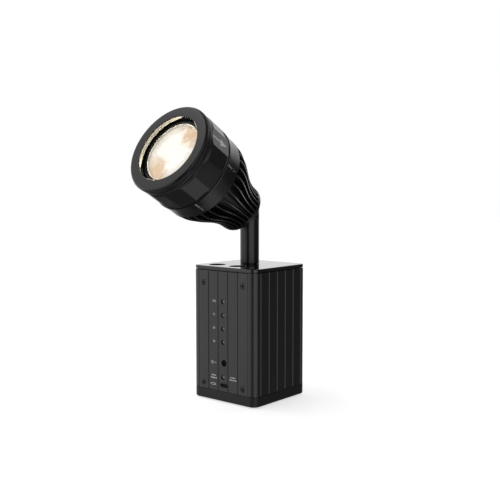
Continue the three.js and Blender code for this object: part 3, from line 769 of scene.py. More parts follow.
def make_materials(settings):
    body = tuple(settings.body_colour)
    deep = tuple(0.8 * c for c in body)
    return {
        "anodised_body": surface(
            "anodised_body", body, 0.34, ior=1.62, fine=3000, depth=0.012, stretch=0.12, wear=0.03, dust=0.03,
        ),
        "anodised_head": surface(
            "anodised_head", body, 0.26, ior=1.56, fine=3200, depth=0.01, wear=0.02, dust=0.04,
        ),
        "satin_black": surface("satin_black", deep, 0.26, fine=2800, depth=0.008, wear=0.02, dust=0.03),
        "gloss_top": surface(
            "gloss_top", (0.004, 0.004, 0.0045), 0.045, ior=1.55, depth=0, blotch=0.03, dust=0.06, coat=0.3,
        ),
        "black_plastic": surface(
            "black_plastic", (0.005, 0.005, 0.0052), 0.42, ior=1.42, fine=1800, depth=0.03,
            dust=0.04, wear=0.03,
        ),
        "button_black": surface(
            "button_black", (0.006, 0.006, 0.0063), 0.7, fine=1500, depth=0.03, gloss=0.0,
        ),
        "rubber": surface("rubber", (0.01, 0.01, 0.01), 0.85, fine=1100, depth=0.05, blotch=0.1, dust=0.2),
        "screw_black": surface(
            "screw_black", (0.005, 0.005, 0.0055), 0.3, ior=1.62, fine=2600, wear=0.15,
        ),
        "steel": surface("steel", (0.5, 0.51, 0.53), 0.3, metallic=1, fine=2600, stretch=0.2, shade=1.15),
        "bare_aluminium": surface(
            "bare_aluminium", (0.7, 0.71, 0.73), 0.22, metallic=1, fine=2200, stretch=0.3, shade=1.1,
        ),
        "nylon": surface("nylon", (0.55, 0.53, 0.47), 0.5, fine=1300, shade=1.1),
        "circuit_board": banded(
            surface("circuit_board", (0.015, 0.1, 0.04), 0.35), 260, (0.012, 0.085, 0.03), (0.05, 0.2, 0.08),
        ),
        "cell_wrap": banded(
            surface("cell_wrap", (0.04, 0.15, 0.38), 0.3), 14, (0.035, 0.13, 0.36), (0.07, 0.26, 0.52),
        ),
        "weight_iron": surface("weight_iron", (0.12, 0.12, 0.12), 0.7, metallic=0.6, fine=700, depth=0.08),
        "lamp_clear": surface("lamp_clear", (0.075, 0.08, 0.078), 0.2, depth=0, blotch=0.05, coat=0.4),
        "emitter": surface("emitter", (0.8, 0.58, 0.14), 0.4, fine=1500, shade=1.2),
        "print": surface("print", tuple(settings.print_colour), 0.5, fine=1600, depth=0.01, shade=1.15),
        "faint_print": surface("faint_print", (0.1, 0.1, 0.105), 0.45, fine=1600, depth=0.01, shade=1.15),
        "dark_nickel": surface("dark_nickel", (0.07, 0.07, 0.075), 0.35, metallic=1, fine=2600),
        "polished_bore": surface("polished_bore", deep, 0.06, ior=1.6, depth=0, blotch=0.02),
        "contact_gold": surface("contact_gold", (0.7, 0.48, 0.17), 0.25, metallic=1, shade=1.1),
        "lens_glass": clear_glass(),
    }


class FOLLOWSPOT_OT_finishes(bpy.types.Operator):
    """Makes the shared node groups and every finish, and gives each CAD node its own"""

    bl_idname = "followspot.finishes"
    bl_label = "Finishes"

    def execute(self, context):
        TREES.update(circle=round_tree(), places=places_tree())
        GROUPS.update(grain=grain_group(), wear=wear_group(), dust=dust_group())
        MATERIALS.update(make_materials(context.scene.followspot_base))
        MATERIALS["lamp_glow"] = lamp_glow(context.scene.followspot_head.glow)
        for row in frame["record"]["subparts"]:
            node = frame["nodes"][row["node"]]
            node.data.materials.clear()
            node.data.materials.append(MATERIALS[row["material_slot"]])
        return {"FINISHED"}


# ---------------------------------------------------------------- base: housing, panel, plate, cap


def groove(x, width):
    """Points of one groove across a face that runs along x, as (x, depth)."""
    half = [(-0.72, 0), (-0.6, 0.04), (-0.06, GROOVE_DEPTH)]
    return [(x + u * width, d) for u, d in half] + [(x - u * width, d) for u, d in reversed(half)]


def grooved_face(turn, width):
    """A face's groove points from its left end to its right, turned about Z by quarter turns from -Y."""
    points = []
    for k in range(6):
        points += groove((k - 2.5) * GROOVE_PITCH, width)
    angle = Matrix.Rotation(math.radians(90 * turn), 2)
    return [tuple(angle @ Vector((x, -FACE + depth))) for x, depth in points]


def housing_outline(width):
    """The shell's section: the outer skin with its grooves, open at the front, and back along the inside."""
    opening = PANEL_HIGH.x + GAP
    h = FACE - CORNER_R
    outer = [(opening, -FACE)]
    for turn, (sx, sy) in enumerate([(1, -1), (1, 1), (-1, 1), (-1, -1)]):
        outer += arc(sx * h, sy * h, CORNER_R, 90 * turn - 90, 90 * turn, 16)
        if turn < 3:
            outer += grooved_face(turn + 1, width)
    outer.append((-opening, -FACE))
    inner_h = FACE - WALL
    inner_r = CORNER_R - WALL
    ledge = PANEL_HIGH.x - 9
    inner = [(-opening, PANEL_BACK + GAP), (-ledge, PANEL_BACK + GAP), (-ledge, PANEL_BACK + WALL),
             (-inner_h, PANEL_BACK + WALL)]
    for sx, sy, start in ((-1, 1, 180), (1, 1, 90)):
        inner += arc(sx * (inner_h - inner_r), sy * (inner_h - inner_r), inner_r, start, start - 90, 6)
    inner += [(inner_h, PANEL_BACK + WALL), (ledge, PANEL_BACK + WALL), (ledge, PANEL_BACK + GAP),
              (opening, PANEL_BACK + GAP)]
    return outer + inner


def panel_outline(width):
    edge = PANEL_HIGH.x
    outline = [(-edge, -FACE)]
    for k in (-1.5, -0.5, 0.5, 1.5):
        outline += [(x, -FACE + depth) for x, depth in groove(k * GROOVE_PITCH, width)]
    return outline + [(edge, -FACE), (edge, PANEL_BACK), (-edge, PANEL_BACK)]


def upright(outline, z0, z1):
    return bridged([[(x, y, z) for x, y in outline] for z in (z0, z1)])


def node_centre(node):
    low, high = node_box(node)
    return (low + high) / 2


def panel_screw_places():
    return [node_centre(f"panel_screw_{k}") for k in range(1, 5)]


def bottom_screw_places():
    return [node_centre(f"bottom_screw_{k}") for k in range(1, 5)]


def lamp_places():
    return [node_centre(name) for name in LAMP_NODES]


def stadium(width, height, centre, y0, y1, steps=16):
    """A bar along Y whose section is a slot shape."""
    r = height / 2
    reach = width / 2 - r
    outline = arc(reach, 0, r, -90, 90, steps) + arc(-reach, 0, r, 90, 270, steps)
    return bridged([[(centre[0] + x, y, centre[1] + z) for x, z in outline] for y in (y0, y1)])


class FOLLOWSPOT_OT_housing(bpy.types.Operator):
    """Builds the grooved housing of the base"""

    bl_idname = "followspot.housing"
    bl_label = "Housing"

    def execute(self, context):
        settings = context.scene.followspot_base
        shell = upright(housing_outline(settings.groove_width / MM), HOUSING_LOW.z, HOUSING_HIGH.z)
        soften(shell, settings.edge / MM, 2, 65)
        hand_over(shell, "housing_shell", "base", ["base_housing"], "anodised_body", 24)
        return {"FINISHED"}


class FOLLOWSPOT_OT_panel(bpy.types.Operator):
    """Builds the control panel with its holes"""

    bl_idname = "followspot.panel"
    bl_label = "Control panel"

    def execute(self, context):
        settings = context.scene.followspot_base
        panel = upright(panel_outline(settings.groove_width / MM), PANEL_LOW.z, PANEL_HIGH.z)
        front, back = -FACE - 1, PANEL_BACK + 1
        power = node_centre("power_button")
        port = node_centre("usb_socket")
        cutters = [rod("y", LAMP_HOLE_R, front, back, (p.x, p.z)) for p in lamp_places()]
        cutters.append(rod("y", POWER_KEY_R + GAP, front, back, (power.x, power.z)))
        cutters.append(stadium(*PORT_CUT, (port.x, port.z), front, back))
        for p in panel_screw_places():
            cutters.append(rod("y", SCREW_POCKET_R, front, -FACE + 1.4, (p.x, p.z)))
            cutters.append(rod("y", SCREW_HOLE_R, -FACE + 1.2, back, (p.x, p.z)))
        for cutter in cutters:
            carve(panel, cutter)
        soften(panel, 0.14, 2, 65)
        hand_over(panel, "panel_plate", "base", ["front_panel"], "anodised_body", 24)
        return {"FINISHED"}


class FOLLOWSPOT_OT_top_plate(bpy.types.Operator):
    """Builds the glossy top plate with its button wells"""

    bl_idname = "followspot.top_plate"
    bl_label = "Top plate"

    def execute(self, context):
        step = HOUSING_HIGH.z + GAP
        register = WALL + GAP
        profile = [(register, PLATE_LOW.z), (register, step), (1.2, step), (1.2, SLAB_BOTTOM),
                   (0.25, SLAB_BOTTOM), (0, SLAB_BOTTOM + 0.25), (0, BASE_TOP - 0.7), (0.1, BASE_TOP - 0.35),
                   (0.32, BASE_TOP - 0.1), (0.7, BASE_TOP)]
        plate = square_loft(BASE_WIDTH, CORNER_R, profile, 16)
        carve(plate, rod("z", SPIGOT_R + 0.4, PLATE_LOW.z - 1, BASE_TOP + 1, steps=64))
        hole, flange = TOP_BUTTON_R + GAP, TOP_BUTTON_R + 1.7
        for name in ("top_button_1", "top_button_2"):
            centre = node_centre(name)
            well = lathe([
                (0, PLATE_LOW.z - 1), (flange, PLATE_LOW.z - 1), (flange, SLAB_BOTTOM), (hole, SLAB_BOTTOM),
                (hole, BASE_TOP - 0.25), (hole + 0.3, BASE_TOP + 0.05), (hole + 0.3, BASE_TOP + 1),
                (0, BASE_TOP + 1),
            ])
            carve(plate, placed(well, Matrix.Translation((centre.x * MM, centre.y * MM, 0))))
        hand_over(plate, "top_slab", "base", ["top_plate"], "gloss_top", 28)
        return {"FINISHED"}


class FOLLOWSPOT_OT_bottom_cap(bpy.types.Operator):
    """Builds the bottom cap with its screw holes"""

    bl_idname = "followspot.bottom_cap"
    bl_label = "Bottom cap"

    def execute(self, context):
        low, top = CAP_LOW.z, CAP_HIGH.z
        profile = [(4.7, low), (1.5, low), (0.7, low + 0.18), (0.2, low + 0.6), (0, low + 1.3),
                   (0, top - 0.35), (0.12, top - 0.1), (0.35, top), (4, top), (4, low + 4)]
        cap = square_loft(BASE_WIDTH, CORNER_R, profile, 16)
        for p in bottom_screw_places():
            hole = lathe([
                (0, low - 1), (3, low - 1), (3, low + 2.5), (1.75, low + 2.5), (1.75, top - 1), (0, top - 1),
            ])
            carve(cap, placed(hole, Matrix.Translation((p.x * MM, p.y * MM, 0))))
        hand_over(cap, "cap_shell", "base", ["bottom_cap"], "black_plastic", 30)
        return {"FINISHED"}


class FOLLOWSPOT_OT_foot_pad(bpy.types.Operator):
    """Builds the rubber pad under the base"""

    bl_idname = "followspot.foot_pad"
    bl_label = "Foot pad"

    def execute(self, context):
        width = PAD_HIGH.x - PAD_LOW.x
        pad = square_loft(
            width, CORNER_R - WALL, [(0.5, 0), (0.12, 0.12), (0, 0.45), (0, PAD_HIGH.z - 0.1)], 10,
        )
        hand_over(pad, "foot_mat", "base", ["foot_pad"], "rubber")
        return {"FINISHED"}


# ---------------------------------------------------------------- fasteners


def cross_head_screw():
    """A panel screw lying along Y, its head's face at y = 0 and a cross recess in it."""
    screw = lathe([
        (0, -0.9), (2.5, -0.9), (2.5, -0.14), (2.42, -0.04), (2.3, 0), (0, 0),
    ], 40)
    for width, reach in ((0.55, 1.85), (1.85, 0.55)):
        carve(screw, block((-width, -reach, -0.8), (width, reach, 1)))
    shank = lathe([(0, -6.9), (1.3, -6.9), (1.5, -6.4), (1.5, -0.8), (0, -0.8)], 20)
    return placed(joined([screw, shank]), Matrix.Rotation(math.pi / 2, 4, "X"))


def cross_shadow():
    """A thin dark cross at the bottom of a panel screw's recess: painted shadow where the recess lies in shade."""
    bars = [block((-w, -r, -0.79), (w, r, -0.2)) for w, r in ((0.52, 1.82), (1.82, 0.52))]
    return placed(carve(bars[0], bars[1], "UNION"), Matrix.Rotation(math.pi / 2, 4, "X"))


def socket_screw(head_r, head, shank_r, length, key_r):
    """A socket-head screw along Z, its head's face down at z = 0."""
    screw = lathe([
        (0, 0), (head_r - 0.25, 0), (head_r, 0.25), (head_r, head), (shank_r, head), (shank_r, length - 0.5),
        (shank_r - 0.4, length), (0, length),
    ], 36)
    return carve(screw, rod("z", key_r, -1, 0.6 * head, steps=6))


class FOLLOWSPOT_OT_panel_screws(bpy.types.Operator):
    """Builds the four cross-head screws of the panel"""

    bl_idname = "followspot.panel_screws"
    bl_label = "Panel screws"

    def execute(self, context):
        places = [(p.x, -FACE + 0.2, p.z) for p in panel_screw_places()]
        panel = joined([
            copies_on_places(cross_head_screw(), places, MATERIALS["screw_black"]),
            # the dark cross in each recess is painted shadow, made in the buttons' black
            copies_on_places(cross_shadow(), places, MATERIALS["button_black"]),
        ])
        hand_over(panel, "panel_screws", "base", [f"panel_screw_{k}" for k in range(1, 5)])
        return {"FINISHED"}


class FOLLOWSPOT_OT_bottom_screws(bpy.types.Operator):
    """Builds the four socket screws of the bottom cap"""

    bl_idname = "followspot.bottom_screws"
    bl_label = "Bottom screws"

    def execute(self, context):
        head_low = node_box("bottom_screw_1")[0].z
        length = node_box("bottom_screw_1")[1].z - head_low
        places = [(p.x, p.y, head_low) for p in bottom_screw_places()]
        screw = socket_screw(2.7, 1.4, 1.45, length, 1.2)
        bottom = copies_on_places(screw, places, MATERIALS["screw_black"])
        hand_over(bottom, "bottom_screws", "base", [f"bottom_screw_{k}" for k in range(1, 5)])
        return {"FINISHED"}


class FOLLOWSPOT_OT_stub_screws(bpy.types.Operator):
    """Builds the three screws that hold the stub to the heat sink"""

    bl_idname = "followspot.stub_screws"
    bl_label = "Stub screws"

    def execute(self, context):
        head_back = FLANGE_BACK - GAP - 1.6
        screw = socket_screw(2.2, 1.6, 1.3, TAIL + 3.4 - head_back, 1.1)
        placed(screw, Matrix.Translation((STUB_SCREW_CIRCLE * MM, 0, head_back * MM)))
        stub = in_head(copies_in_circle(screw, 3, 90, MATERIALS["screw_black"]))
        hand_over(stub, "stub_screws", "head", [f"stub_screw_{k}" for k in range(1, 4)])
        return {"FINISHED"}


# ---------------------------------------------------------------- controls


class FOLLOWSPOT_OT_lamps(bpy.types.Operator):
    """Builds the level lamps and the charge lamp"""

    bl_idname = "followspot.lamps"
    bl_label = "Signal lamps"

    def execute(self, context):
        r = LAMP_HOLE_R - GAP
        angles = (0, 0.3, 0.6, 0.9, 1.2, math.pi / 2)
        dome = [(r * math.sin(a), 0.5 * math.cos(a) - 1.3) for a in angles]
        shape = lathe([(0, -7.7), (r + 0.8, -7.7), (r + 0.8, -2.9), (r, -2.9), *dome[::-1]], 40)
        placed(shape, Matrix.Rotation(math.pi / 2, 4, "X"))
        places = [(p.x, -FACE, p.z) for p in lamp_places()]
        lamps = copies_on_places(shape, places, MATERIALS["lamp_clear"])
        hand_over(lamps, "signal_lamps", "base", LAMP_NODES)
        return {"FINISHED"}


class FOLLOWSPOT_OT_power_button(bpy.types.Operator):
    """Builds the dished power button in the panel"""

    bl_idname = "followspot.power_button"
    bl_label = "Power button"

    def execute(self, context):
        power = node_centre("power_button")
        back = node_box("power_button")[1].y
        face = node_box("power_button")[0].y
        r = POWER_KEY_R
        button = lathe([
            (0, -back), (r + 1.2, -back), (r + 1.2, -back + 0.4), (r, -back + 0.4), (r, -face - 0.25),
            (r - 0.2, -face - 0.05), (r - 0.45, -face), (r - 0.8, -face - 0.12), (r - 1.6, -face - 0.28),
            (0, -face - 0.34),
        ], 48)
        to_panel = Matrix.Translation((power.x * MM, 0, power.z * MM)) @ Matrix.Rotation(math.pi / 2, 4, "X")
        placed(button, to_panel)
        hand_over(button, "power_key", "power_button", ["power_button"], "button_black")
        return {"FINISHED"}


class FOLLOWSPOT_OT_top_buttons(bpy.types.Operator):
    """Builds the two dished buttons in the top plate"""

    bl_idname = "followspot.top_buttons"
    bl_label = "Top buttons"

    def execute(self, context):
        for k in (1, 2):
            centre = node_centre(f"top_button_{k}")
            low = node_box(f"top_button_{k}")[0].z
            r = TOP_BUTTON_R
            disc = lathe([
                (0, low), (r + 1.3, low), (r + 1.3, low + 0.7), (r, low + 0.7), (r, BASE_TOP - 0.35),
                (r - 0.15, BASE_TOP - 0.08), (r - 0.45, BASE_TOP), (r - 0.85, BASE_TOP - 0.12),
                (r - 2.2, BASE_TOP - 0.3), (r - 4.8, BASE_TOP - 0.42), (0, BASE_TOP - 0.45),
            ])
            placed(disc, Matrix.Translation((centre.x * MM, centre.y * MM, 0)))
            node = f"top_button_{k}"
            hand_over(disc, f"top_key_{k}", node, [node], "button_black")
        return {"FINISHED"}


class FOLLOWSPOT_OT_charging_socket(bpy.types.Operator):
    """Builds the charging socket with its tongue and contacts"""

    bl_idname = "followspot.charging_socket"
    bl_label = "Charging socket"

    def execute(self, context):
        low, high = node_box("usb_socket")
        width, height = high.x - low.x, high.z - low.z
        centre = ((low.x + high.x) / 2, (low.z + high.z) / 2)
        shell = stadium(width, height, centre, low.y, high.y)
        carve(shell, stadium(width - 0.6, height - 0.6, centre, low.y - 1, high.y - 1))
        soften(shell, 0.06, 2, 60)
        shell.data.materials.append(MATERIALS["dark_nickel"])
        half_tongue = width / 2 - 1.3
        tongue = block(
            (centre[0] - half_tongue, low.y + 0.7, centre[1] - 0.35),
            (centre[0] + half_tongue, high.y - 0.8, centre[1] + 0.35),
        )
        soften(tongue, 0.08, 2)
        tongue.data.materials.append(MATERIALS["black_plastic"])
        contact = block((-0.16, 0, -0.41), (0.16, 3.4, 0.41))
        places = [(centre[0] + (k - 3.5) * 0.76, low.y + 1.0, centre[1]) for k in range(8)]
        contacts = copies_on_places(contact, places, MATERIALS["contact_gold"])
        socket = joined([shell, tongue, contacts])
        hand_over(socket, "charging_socket", "base", ["usb_socket"])
        return {"FINISHED"}


# ---------------------------------------------------------------- printed marks


INK = 0.05  # how far the print stands off the surface, in millimetres
DIGIT_HEIGHT = 0.7  # height of a digit as a share of the font's size


def number_mark(text, height, centre):
    """A printed number on the panel, centred at (x, z)."""
    curve = bpy.data.curves.new("number", "FONT")
    curve.body = text
    curve.size = height * MM / DIGIT_HEIGHT
    curve.align_x = "CENTER"
    curve.align_y = "CENTER"
    curve.extrude = INK * MM / 2
    curve.offset = 0.03 * MM
    source = bpy.data.objects.new("number", curve)
    bpy.context.scene.collection.objects.link(source)
    bpy.context.view_layer.update()
    graph = bpy.context.evaluated_depsgraph_get()
    mesh = bpy.data.meshes.new_from_object(source.evaluated_get(graph), depsgraph=graph)
    bpy.data.objects.remove(source)
    turn = Matrix.Rotation(math.pi / 2, 4, "X")
    mesh.transform(Matrix.Translation((centre[0] * MM, (-FACE - INK / 2) * MM, centre[1] * MM)) @ turn)
    return new_object("number", mesh)


def bar_mark(x0, z0, x1, z1):
    return block((x0, -FACE - INK, z0), (x1, -FACE + 0.02, z1))


def frame_mark(x0, z0, x1, z1, line):
    """A printed rectangle's outline."""
    return [
        bar_mark(x0, z0, x1, z0 + line), bar_mark(x0, z1 - line, x1, z1),
        bar_mark(x0, z0 + line, x0 + line, z1 - line), bar_mark(x1 - line, z0 + line, x1, z1 - line),
    ]


def arc_mark(x, z, r, start, end, line):
    outline = arc(x, z, r, start, end, 24) + arc(x, z, r - line, end, start, 24)
    return bridged([[(u, y, v) for u, v in outline] for y in (-FACE - INK, -FACE + 0.02)])


class FOLLOWSPOT_OT_marks(bpy.types.Operator):
    """Prints the level numbers and the plain symbols on the panel"""

    bl_idname = "followspot.marks"
    bl_label = "Panel marks"

    def execute(self, context):
        height = context.scene.followspot_base.label_height / MM
        levels = [node_centre(f"level_lamp_{k}").z for k in range(1, 5)]
        numbers = ("100", "75", "50", "25")
        marks = [number_mark(text, height, (-11, z)) for text, z in zip(numbers, levels)]
        power = node_centre("power_button").z - 0.6
        marks.append(arc_mark(-13, power, 1.5, 125, 415, 0.42))
        marks.append(bar_mark(-13.22, power + 0.1, -12.78, power + 1.9))
        marks.append(bar_mark(-10.6, power - 0.25, -8.2, power + 0.25))
        charge = node_centre("charge_lamp").z
        marks += [bar_mark(-15 + k * 1.9, charge - 2.3, -13.6 + k * 1.9, charge - 1.1) for k in range(4)]
        marks += [bar_mark(-14.0 + k * 1.9, charge + 0.2, -12.6 + k * 1.9, charge + 1.3) for k in range(3)]
        marks += [bar_mark(8.9 + k * 2.1, charge + 0.8, 10.5 + k * 2.1, charge + 1.75) for k in range(3)]
        marks += [bar_mark(8.0 + k * 2.2, charge - 1.45, 9.6 + k * 2.2, charge - 0.5) for k in range(4)]
        port = node_centre("usb_socket").z
        marks += frame_mark(-14.4, port - 1.1, -10.6, port + 1.0, 0.4)
        marks += [bar_mark(-10.6, port + dz, -8.9, port + dz + 0.45) for dz in (-0.75, 0.25)]
        marks.append(bar_mark(-16, port - 0.25, -14.4, port + 0.2))
        hand_over(joined(marks), "panel_marks", "base", (), "print")
        return {"FINISHED"}


# ---------------------------------------------------------------- post and tilt pivot


class FOLLOWSPOT_OT_post(bpy.types.Operator):
    """Builds the swivelling post with its half lap"""

    bl_idname = "followspot.post"
    bl_label = "Post"

    def execute(self, context):
        low = node_box("post")[0]
        foot = BASE_TOP + 1.2
        shoulder = PIVOT_Z - LAP_REACH
        post = lathe([
            (WIRE_BORE_R, low.z), (SPIGOT_R - 0.4, low.z), (SPIGOT_R, low.z + 0.4), (SPIGOT_R, foot),
            (POST_R - 0.4, foot), (POST_R, foot + 0.4), (POST_R, shoulder - 0.25),
            (POST_R - 0.25, shoulder), (WIRE_BORE_R, shoulder),
        ], 128)
        cheek = rod("x", POST_R, LAP_HALF_GAP, POST_R + 1, (0, PIVOT_Z), 96)
        root = block((LAP_HALF_GAP, -POST_R, shoulder - 1), (POST_R + 1, POST_R, PIVOT_Z))
        carve(cheek, root, "UNION")
        carve(cheek, rod("z", POST_R, shoulder - 0.5, PIVOT_Z + POST_R + 1, steps=128), "INTERSECT")
        carve(cheek, rod("z", WIRE_BORE_R, shoulder - 2, shoulder + 0.6, steps=32))
        carve(cheek, rod("x", PIVOT_BOLT_R + GAP, -1, POST_R + 2, (0, PIVOT_Z), 32))
        carve(cheek, rod("x", BOLT_HEAD_R + GAP, BOLT_HEAD_SEAT - GAP, POST_R + 2, (0, PIVOT_Z), 48))
        carve(post, cheek, "UNION")
        soften(post, 0.18, 2, 50)
        hand_over(post, "post_tube", "post", ["post"], "satin_black")
        return {"FINISHED"}


class FOLLOWSPOT_OT_pan_ring(bpy.types.Operator):
    """Builds the thin ring that the post turns on"""

    bl_idname = "followspot.pan_ring"
    bl_label = "Ring under the post"

    def execute(self, context):
        washer = ring(SPIGOT_R + GAP, POST_R + 0.1, BASE_TOP + GAP, BASE_TOP + 0.9, 96)
        soften(washer, 0.15)
        hand_over(washer, "pan_collar", "base", ["pan_washer_upper"], "satin_black")
        return {"FINISHED"}


class FOLLOWSPOT_OT_pan_nut(bpy.types.Operator):
    """Builds the nut that holds the post from inside"""

    bl_idname = "followspot.pan_nut"
    bl_label = "Post nut"

    def execute(self, context):
        nut_low, nut_high = node_box("pan_nut")
        nut = rod("z", SPIGOT_R + 4.5, nut_low.z, nut_high.z, steps=6)
        carve(nut, rod("z", SPIGOT_R + GAP, nut_low.z - 1, nut_high.z + 1))
        soften(nut, 0.4)
        hand_over(nut, "pan_locknut", "post", ["pan_nut"], "steel")
        return {"FINISHED"}


ACROSS = Matrix.Rotation(math.pi / 2, 4, "Y")  # turns a shape made along Z to lie along the tilt axis


class FOLLOWSPOT_OT_stub(bpy.types.Operator):
    """Builds the head's half of the lap, with its flange"""

    bl_idname = "followspot.stub"
    bl_label = "Head stub"

    def execute(self, context):
        stub = lathe([
            (WIRE_BORE_R, LAP_REACH), (POST_R - 0.25, LAP_REACH), (POST_R, LAP_REACH + 0.25),
            (POST_R, FLANGE_BACK - 0.5),
            (POST_R + 0.5, FLANGE_BACK), (FLANGE_R - 0.3, FLANGE_BACK),
            (FLANGE_R, FLANGE_BACK + 0.3), (FLANGE_R, FLANGE_FRONT),
            (WIRE_BORE_R, FLANGE_FRONT),
        ], 128)
        cheek = rod("x", POST_R, -POST_R - 1, -LAP_HALF_GAP, steps=96)
        carve(cheek, block((-POST_R - 1, -POST_R, 0), (-LAP_HALF_GAP, POST_R, LAP_REACH + 1)), "UNION")
        carve(cheek, rod("z", POST_R, -POST_R - 1, LAP_REACH + 0.5, steps=128), "INTERSECT")
        carve(cheek, rod("z", WIRE_BORE_R, LAP_REACH - 0.6, LAP_REACH + 2, steps=32))
        carve(cheek, rod("x", PIVOT_BOLT_R + GAP, -POST_R - 2, 1, steps=32))
        carve(cheek, rod("x", 4, -POST_R - 2, -5, steps=48))
        carve(stub, cheek, "UNION")
        for k in range(3):
            hole = rod("z", 1.6, FLANGE_BACK - 1, FLANGE_FRONT + 1, (STUB_SCREW_CIRCLE, 0), 20)
            carve(stub, spun(hole, 90 + 120 * k))
        soften(stub, 0.18, 2, 50)
        hand_over(in_head(stub), "pivot_stub", "head", ["tilt_stub"], "satin_black")
        return {"FINISHED"}


class FOLLOWSPOT_OT_tilt_bolt(bpy.types.Operator):
    """Builds the bolt that the head tips about"""

    bl_idname = "followspot.tilt_bolt"
    bl_label = "Tilt bolt"

    def execute(self, context):
        bolt = lathe([
            (0, -8.1), (PIVOT_BOLT_R - 0.3, -8.1), (PIVOT_BOLT_R, -7.8), (PIVOT_BOLT_R, BOLT_HEAD_SEAT),
            (BOLT_HEAD_R, BOLT_HEAD_SEAT), (BOLT_HEAD_R, 7.8), (BOLT_HEAD_R - 0.3, 8.1), (0, 8.1),
        ], 48)
        carve(bolt, rod("z", 1.5, 6.6, 9, steps=6))
        hand_over(
            in_head(placed(bolt, ACROSS)), "pivot_bolt", "head", ["tilt_bolt"], "screw_black",
        )
        return {"FINISHED"}


class FOLLOWSPOT_OT_tilt_nut(bpy.types.Operator):
    """Builds the nut on the tilt bolt"""

    bl_idname = "followspot.tilt_nut"
    bl_label = "Tilt nut"

    def execute(self, context):
        nut = rod("z", 3.6, -8.3, -5.3, steps=6)
        carve(nut, rod("z", PIVOT_BOLT_R + GAP, -9, -5, steps=32))
        soften(nut, 0.25)
        hand_over(
            in_head(placed(nut, ACROSS)), "pivot_nut", "head", ["tilt_nut"], "screw_black",
        )
        return {"FINISHED"}


class FOLLOWSPOT_OT_tilt_washer(bpy.types.Operator):
    """Builds the friction washer between the two halves of the lap"""

    bl_idname = "followspot.tilt_washer"
    bl_label = "Tilt washer"

    def execute(self, context):
        washer = ring(PIVOT_BOLT_R + GAP, 6.5, GAP - LAP_HALF_GAP, LAP_HALF_GAP - GAP, 64)
        lift = Matrix.Translation((0, 0, PIVOT_Z * MM))
        hand_over(placed(washer, lift @ ACROSS), "pivot_washer", "post", ["tilt_washer"], "nylon")
        return {"FINISHED"}


# ---------------------------------------------------------------- heat sink


def fin_edge(t):
    """A fin's outer edge at t from 0 to 1, as (radius, station): a sweep from the tail to the band."""
    stations = (TAIL_RING, TAIL_RING + 22.3, BAND_REAR - 18.2, BAND_REAR - GAP)
    radii = (TAIL_R + 0.1, TAIL_R + 0.7, BAND_R - 0.25, BAND_R)
    weights = ((1 - t) ** 3, 3 * t * (1 - t) ** 2, 3 * t * t * (1 - t), t ** 3)
    return sum(w * r for w, r in zip(weights, radii)), sum(w * s for w, s in zip(weights, stations))


CORE = [  # the heat sink's core behind the fins, from its rear bore round to its hollow front
    (4, TAIL), (TAIL_R - 0.9, TAIL), (TAIL_R - 0.25, TAIL + 0.3), (TAIL_R, TAIL + 0.9),
    (TAIL_R + 0.1, TAIL_RING), (20, TAIL_RING + 0.5), (17, TAIL_RING + 1.4), (17, 26), (18.5, 33),
    (21, 40), (24.2, 49), (27.5, 58), (31, 66), (33.7, 71.5),
    (33.7, 77.4), (30.2, 77.4), (30.2, 74.4), (25.5, 74.4), (12, 34), (4, 34),
]


class FOLLOWSPOT_OT_heat_sink(bpy.types.Operator):
    """Builds the finned heat sink"""

    bl_idname = "followspot.heat_sink"
    bl_label = "Heat sink"

    def execute(self, context):
        settings = context.scene.followspot_head
        core = lathe(CORE, 128)
        core.data.materials.append(MATERIALS["anodised_head"])
        edge = [fin_edge(k / 28) for k in range(29)]
        outline = [(14, TAIL + 1.5), (TAIL_R - 0.2, TAIL + 1.5), *edge, (28, BAND_REAR - GAP), (16, 40)]
        half = settings.fin_thickness / MM / 2
        plate = bridged([[(r, y, s) for r, s in outline] for y in (-half, half)])
        soften(plate, 0.5, 3, 50)
        fins = copies_in_circle(plate, settings.fin_count, ARROW_ANGLE, MATERIALS["anodised_head"])
        sink = joined([core, fins])
        hand_over(in_head(sink), "finned_sink", "head", ["heat_sink"], angle=35)
        return {"FINISHED"}


# ---------------------------------------------------------------- index band


ZOOM_MARKS = (3.3, -59.5, 66.0)  # where the band's marks sit, in degrees from +X towards the top


def cone_mark(angle, station, spread):
    """A small beam symbol: a dot and two lines that open towards the front."""
    marks = [block((BAND_R - 0.2, -0.45, station - 0.45), (BAND_R + INK, 0.45, station + 0.45))]
    for side in (-1, 1):
        line = block((BAND_R - 0.3, -0.2, 0.8), (BAND_R + INK, 0.2, 4.0))
        placed(line, Matrix.Rotation(math.radians(side * spread), 4, "X"))
        marks.append(placed(line, Matrix.Translation((0, 0, station * MM))))
    return [spun(mark, angle) for mark in marks]


class FOLLOWSPOT_OT_index_band(bpy.types.Operator):
    """Builds the index band with its guide sleeve"""

    bl_idname = "followspot.index_band"
    bl_label = "Index band"

    def execute(self, context):
        band = lathe([
            (34.1, BAND_REAR), (BAND_R - 0.35, BAND_REAR), (BAND_R, BAND_REAR + 0.35), (BAND_R, 82),
            (BAND_R + 0.08, 83.6), (BAND_R + 0.3, 86), (BAND_FRONT_R - 0.05, BAND_FRONT - 0.5),
            (BAND_FRONT_R - 0.4, BAND_FRONT), (SLEEVE_R, BAND_FRONT), (SLEEVE_R, SLEEVE_FRONT),
            (SLEEVE_BORE, SLEEVE_FRONT), (SLEEVE_BORE, BAND_FRONT - 3), (37.4, BAND_FRONT - 3),
            (37.4, BAND_REAR + 3.2), (34.1, BAND_REAR + 3.2),
        ], 160)
        low = (SLEEVE_BORE - 2, -1.85, GUIDE_STATION - 8.7)
        high = (SLEEVE_R + 0.6, 1.85, GUIDE_STATION + 5.5)
        for turn in (0, 180):
            carve(band, spun(block(low, high), turn))
        hand_over(in_head(band), "marked_band", "head", ["index_band"], "anodised_head", 25)
        return {"FINISHED"}


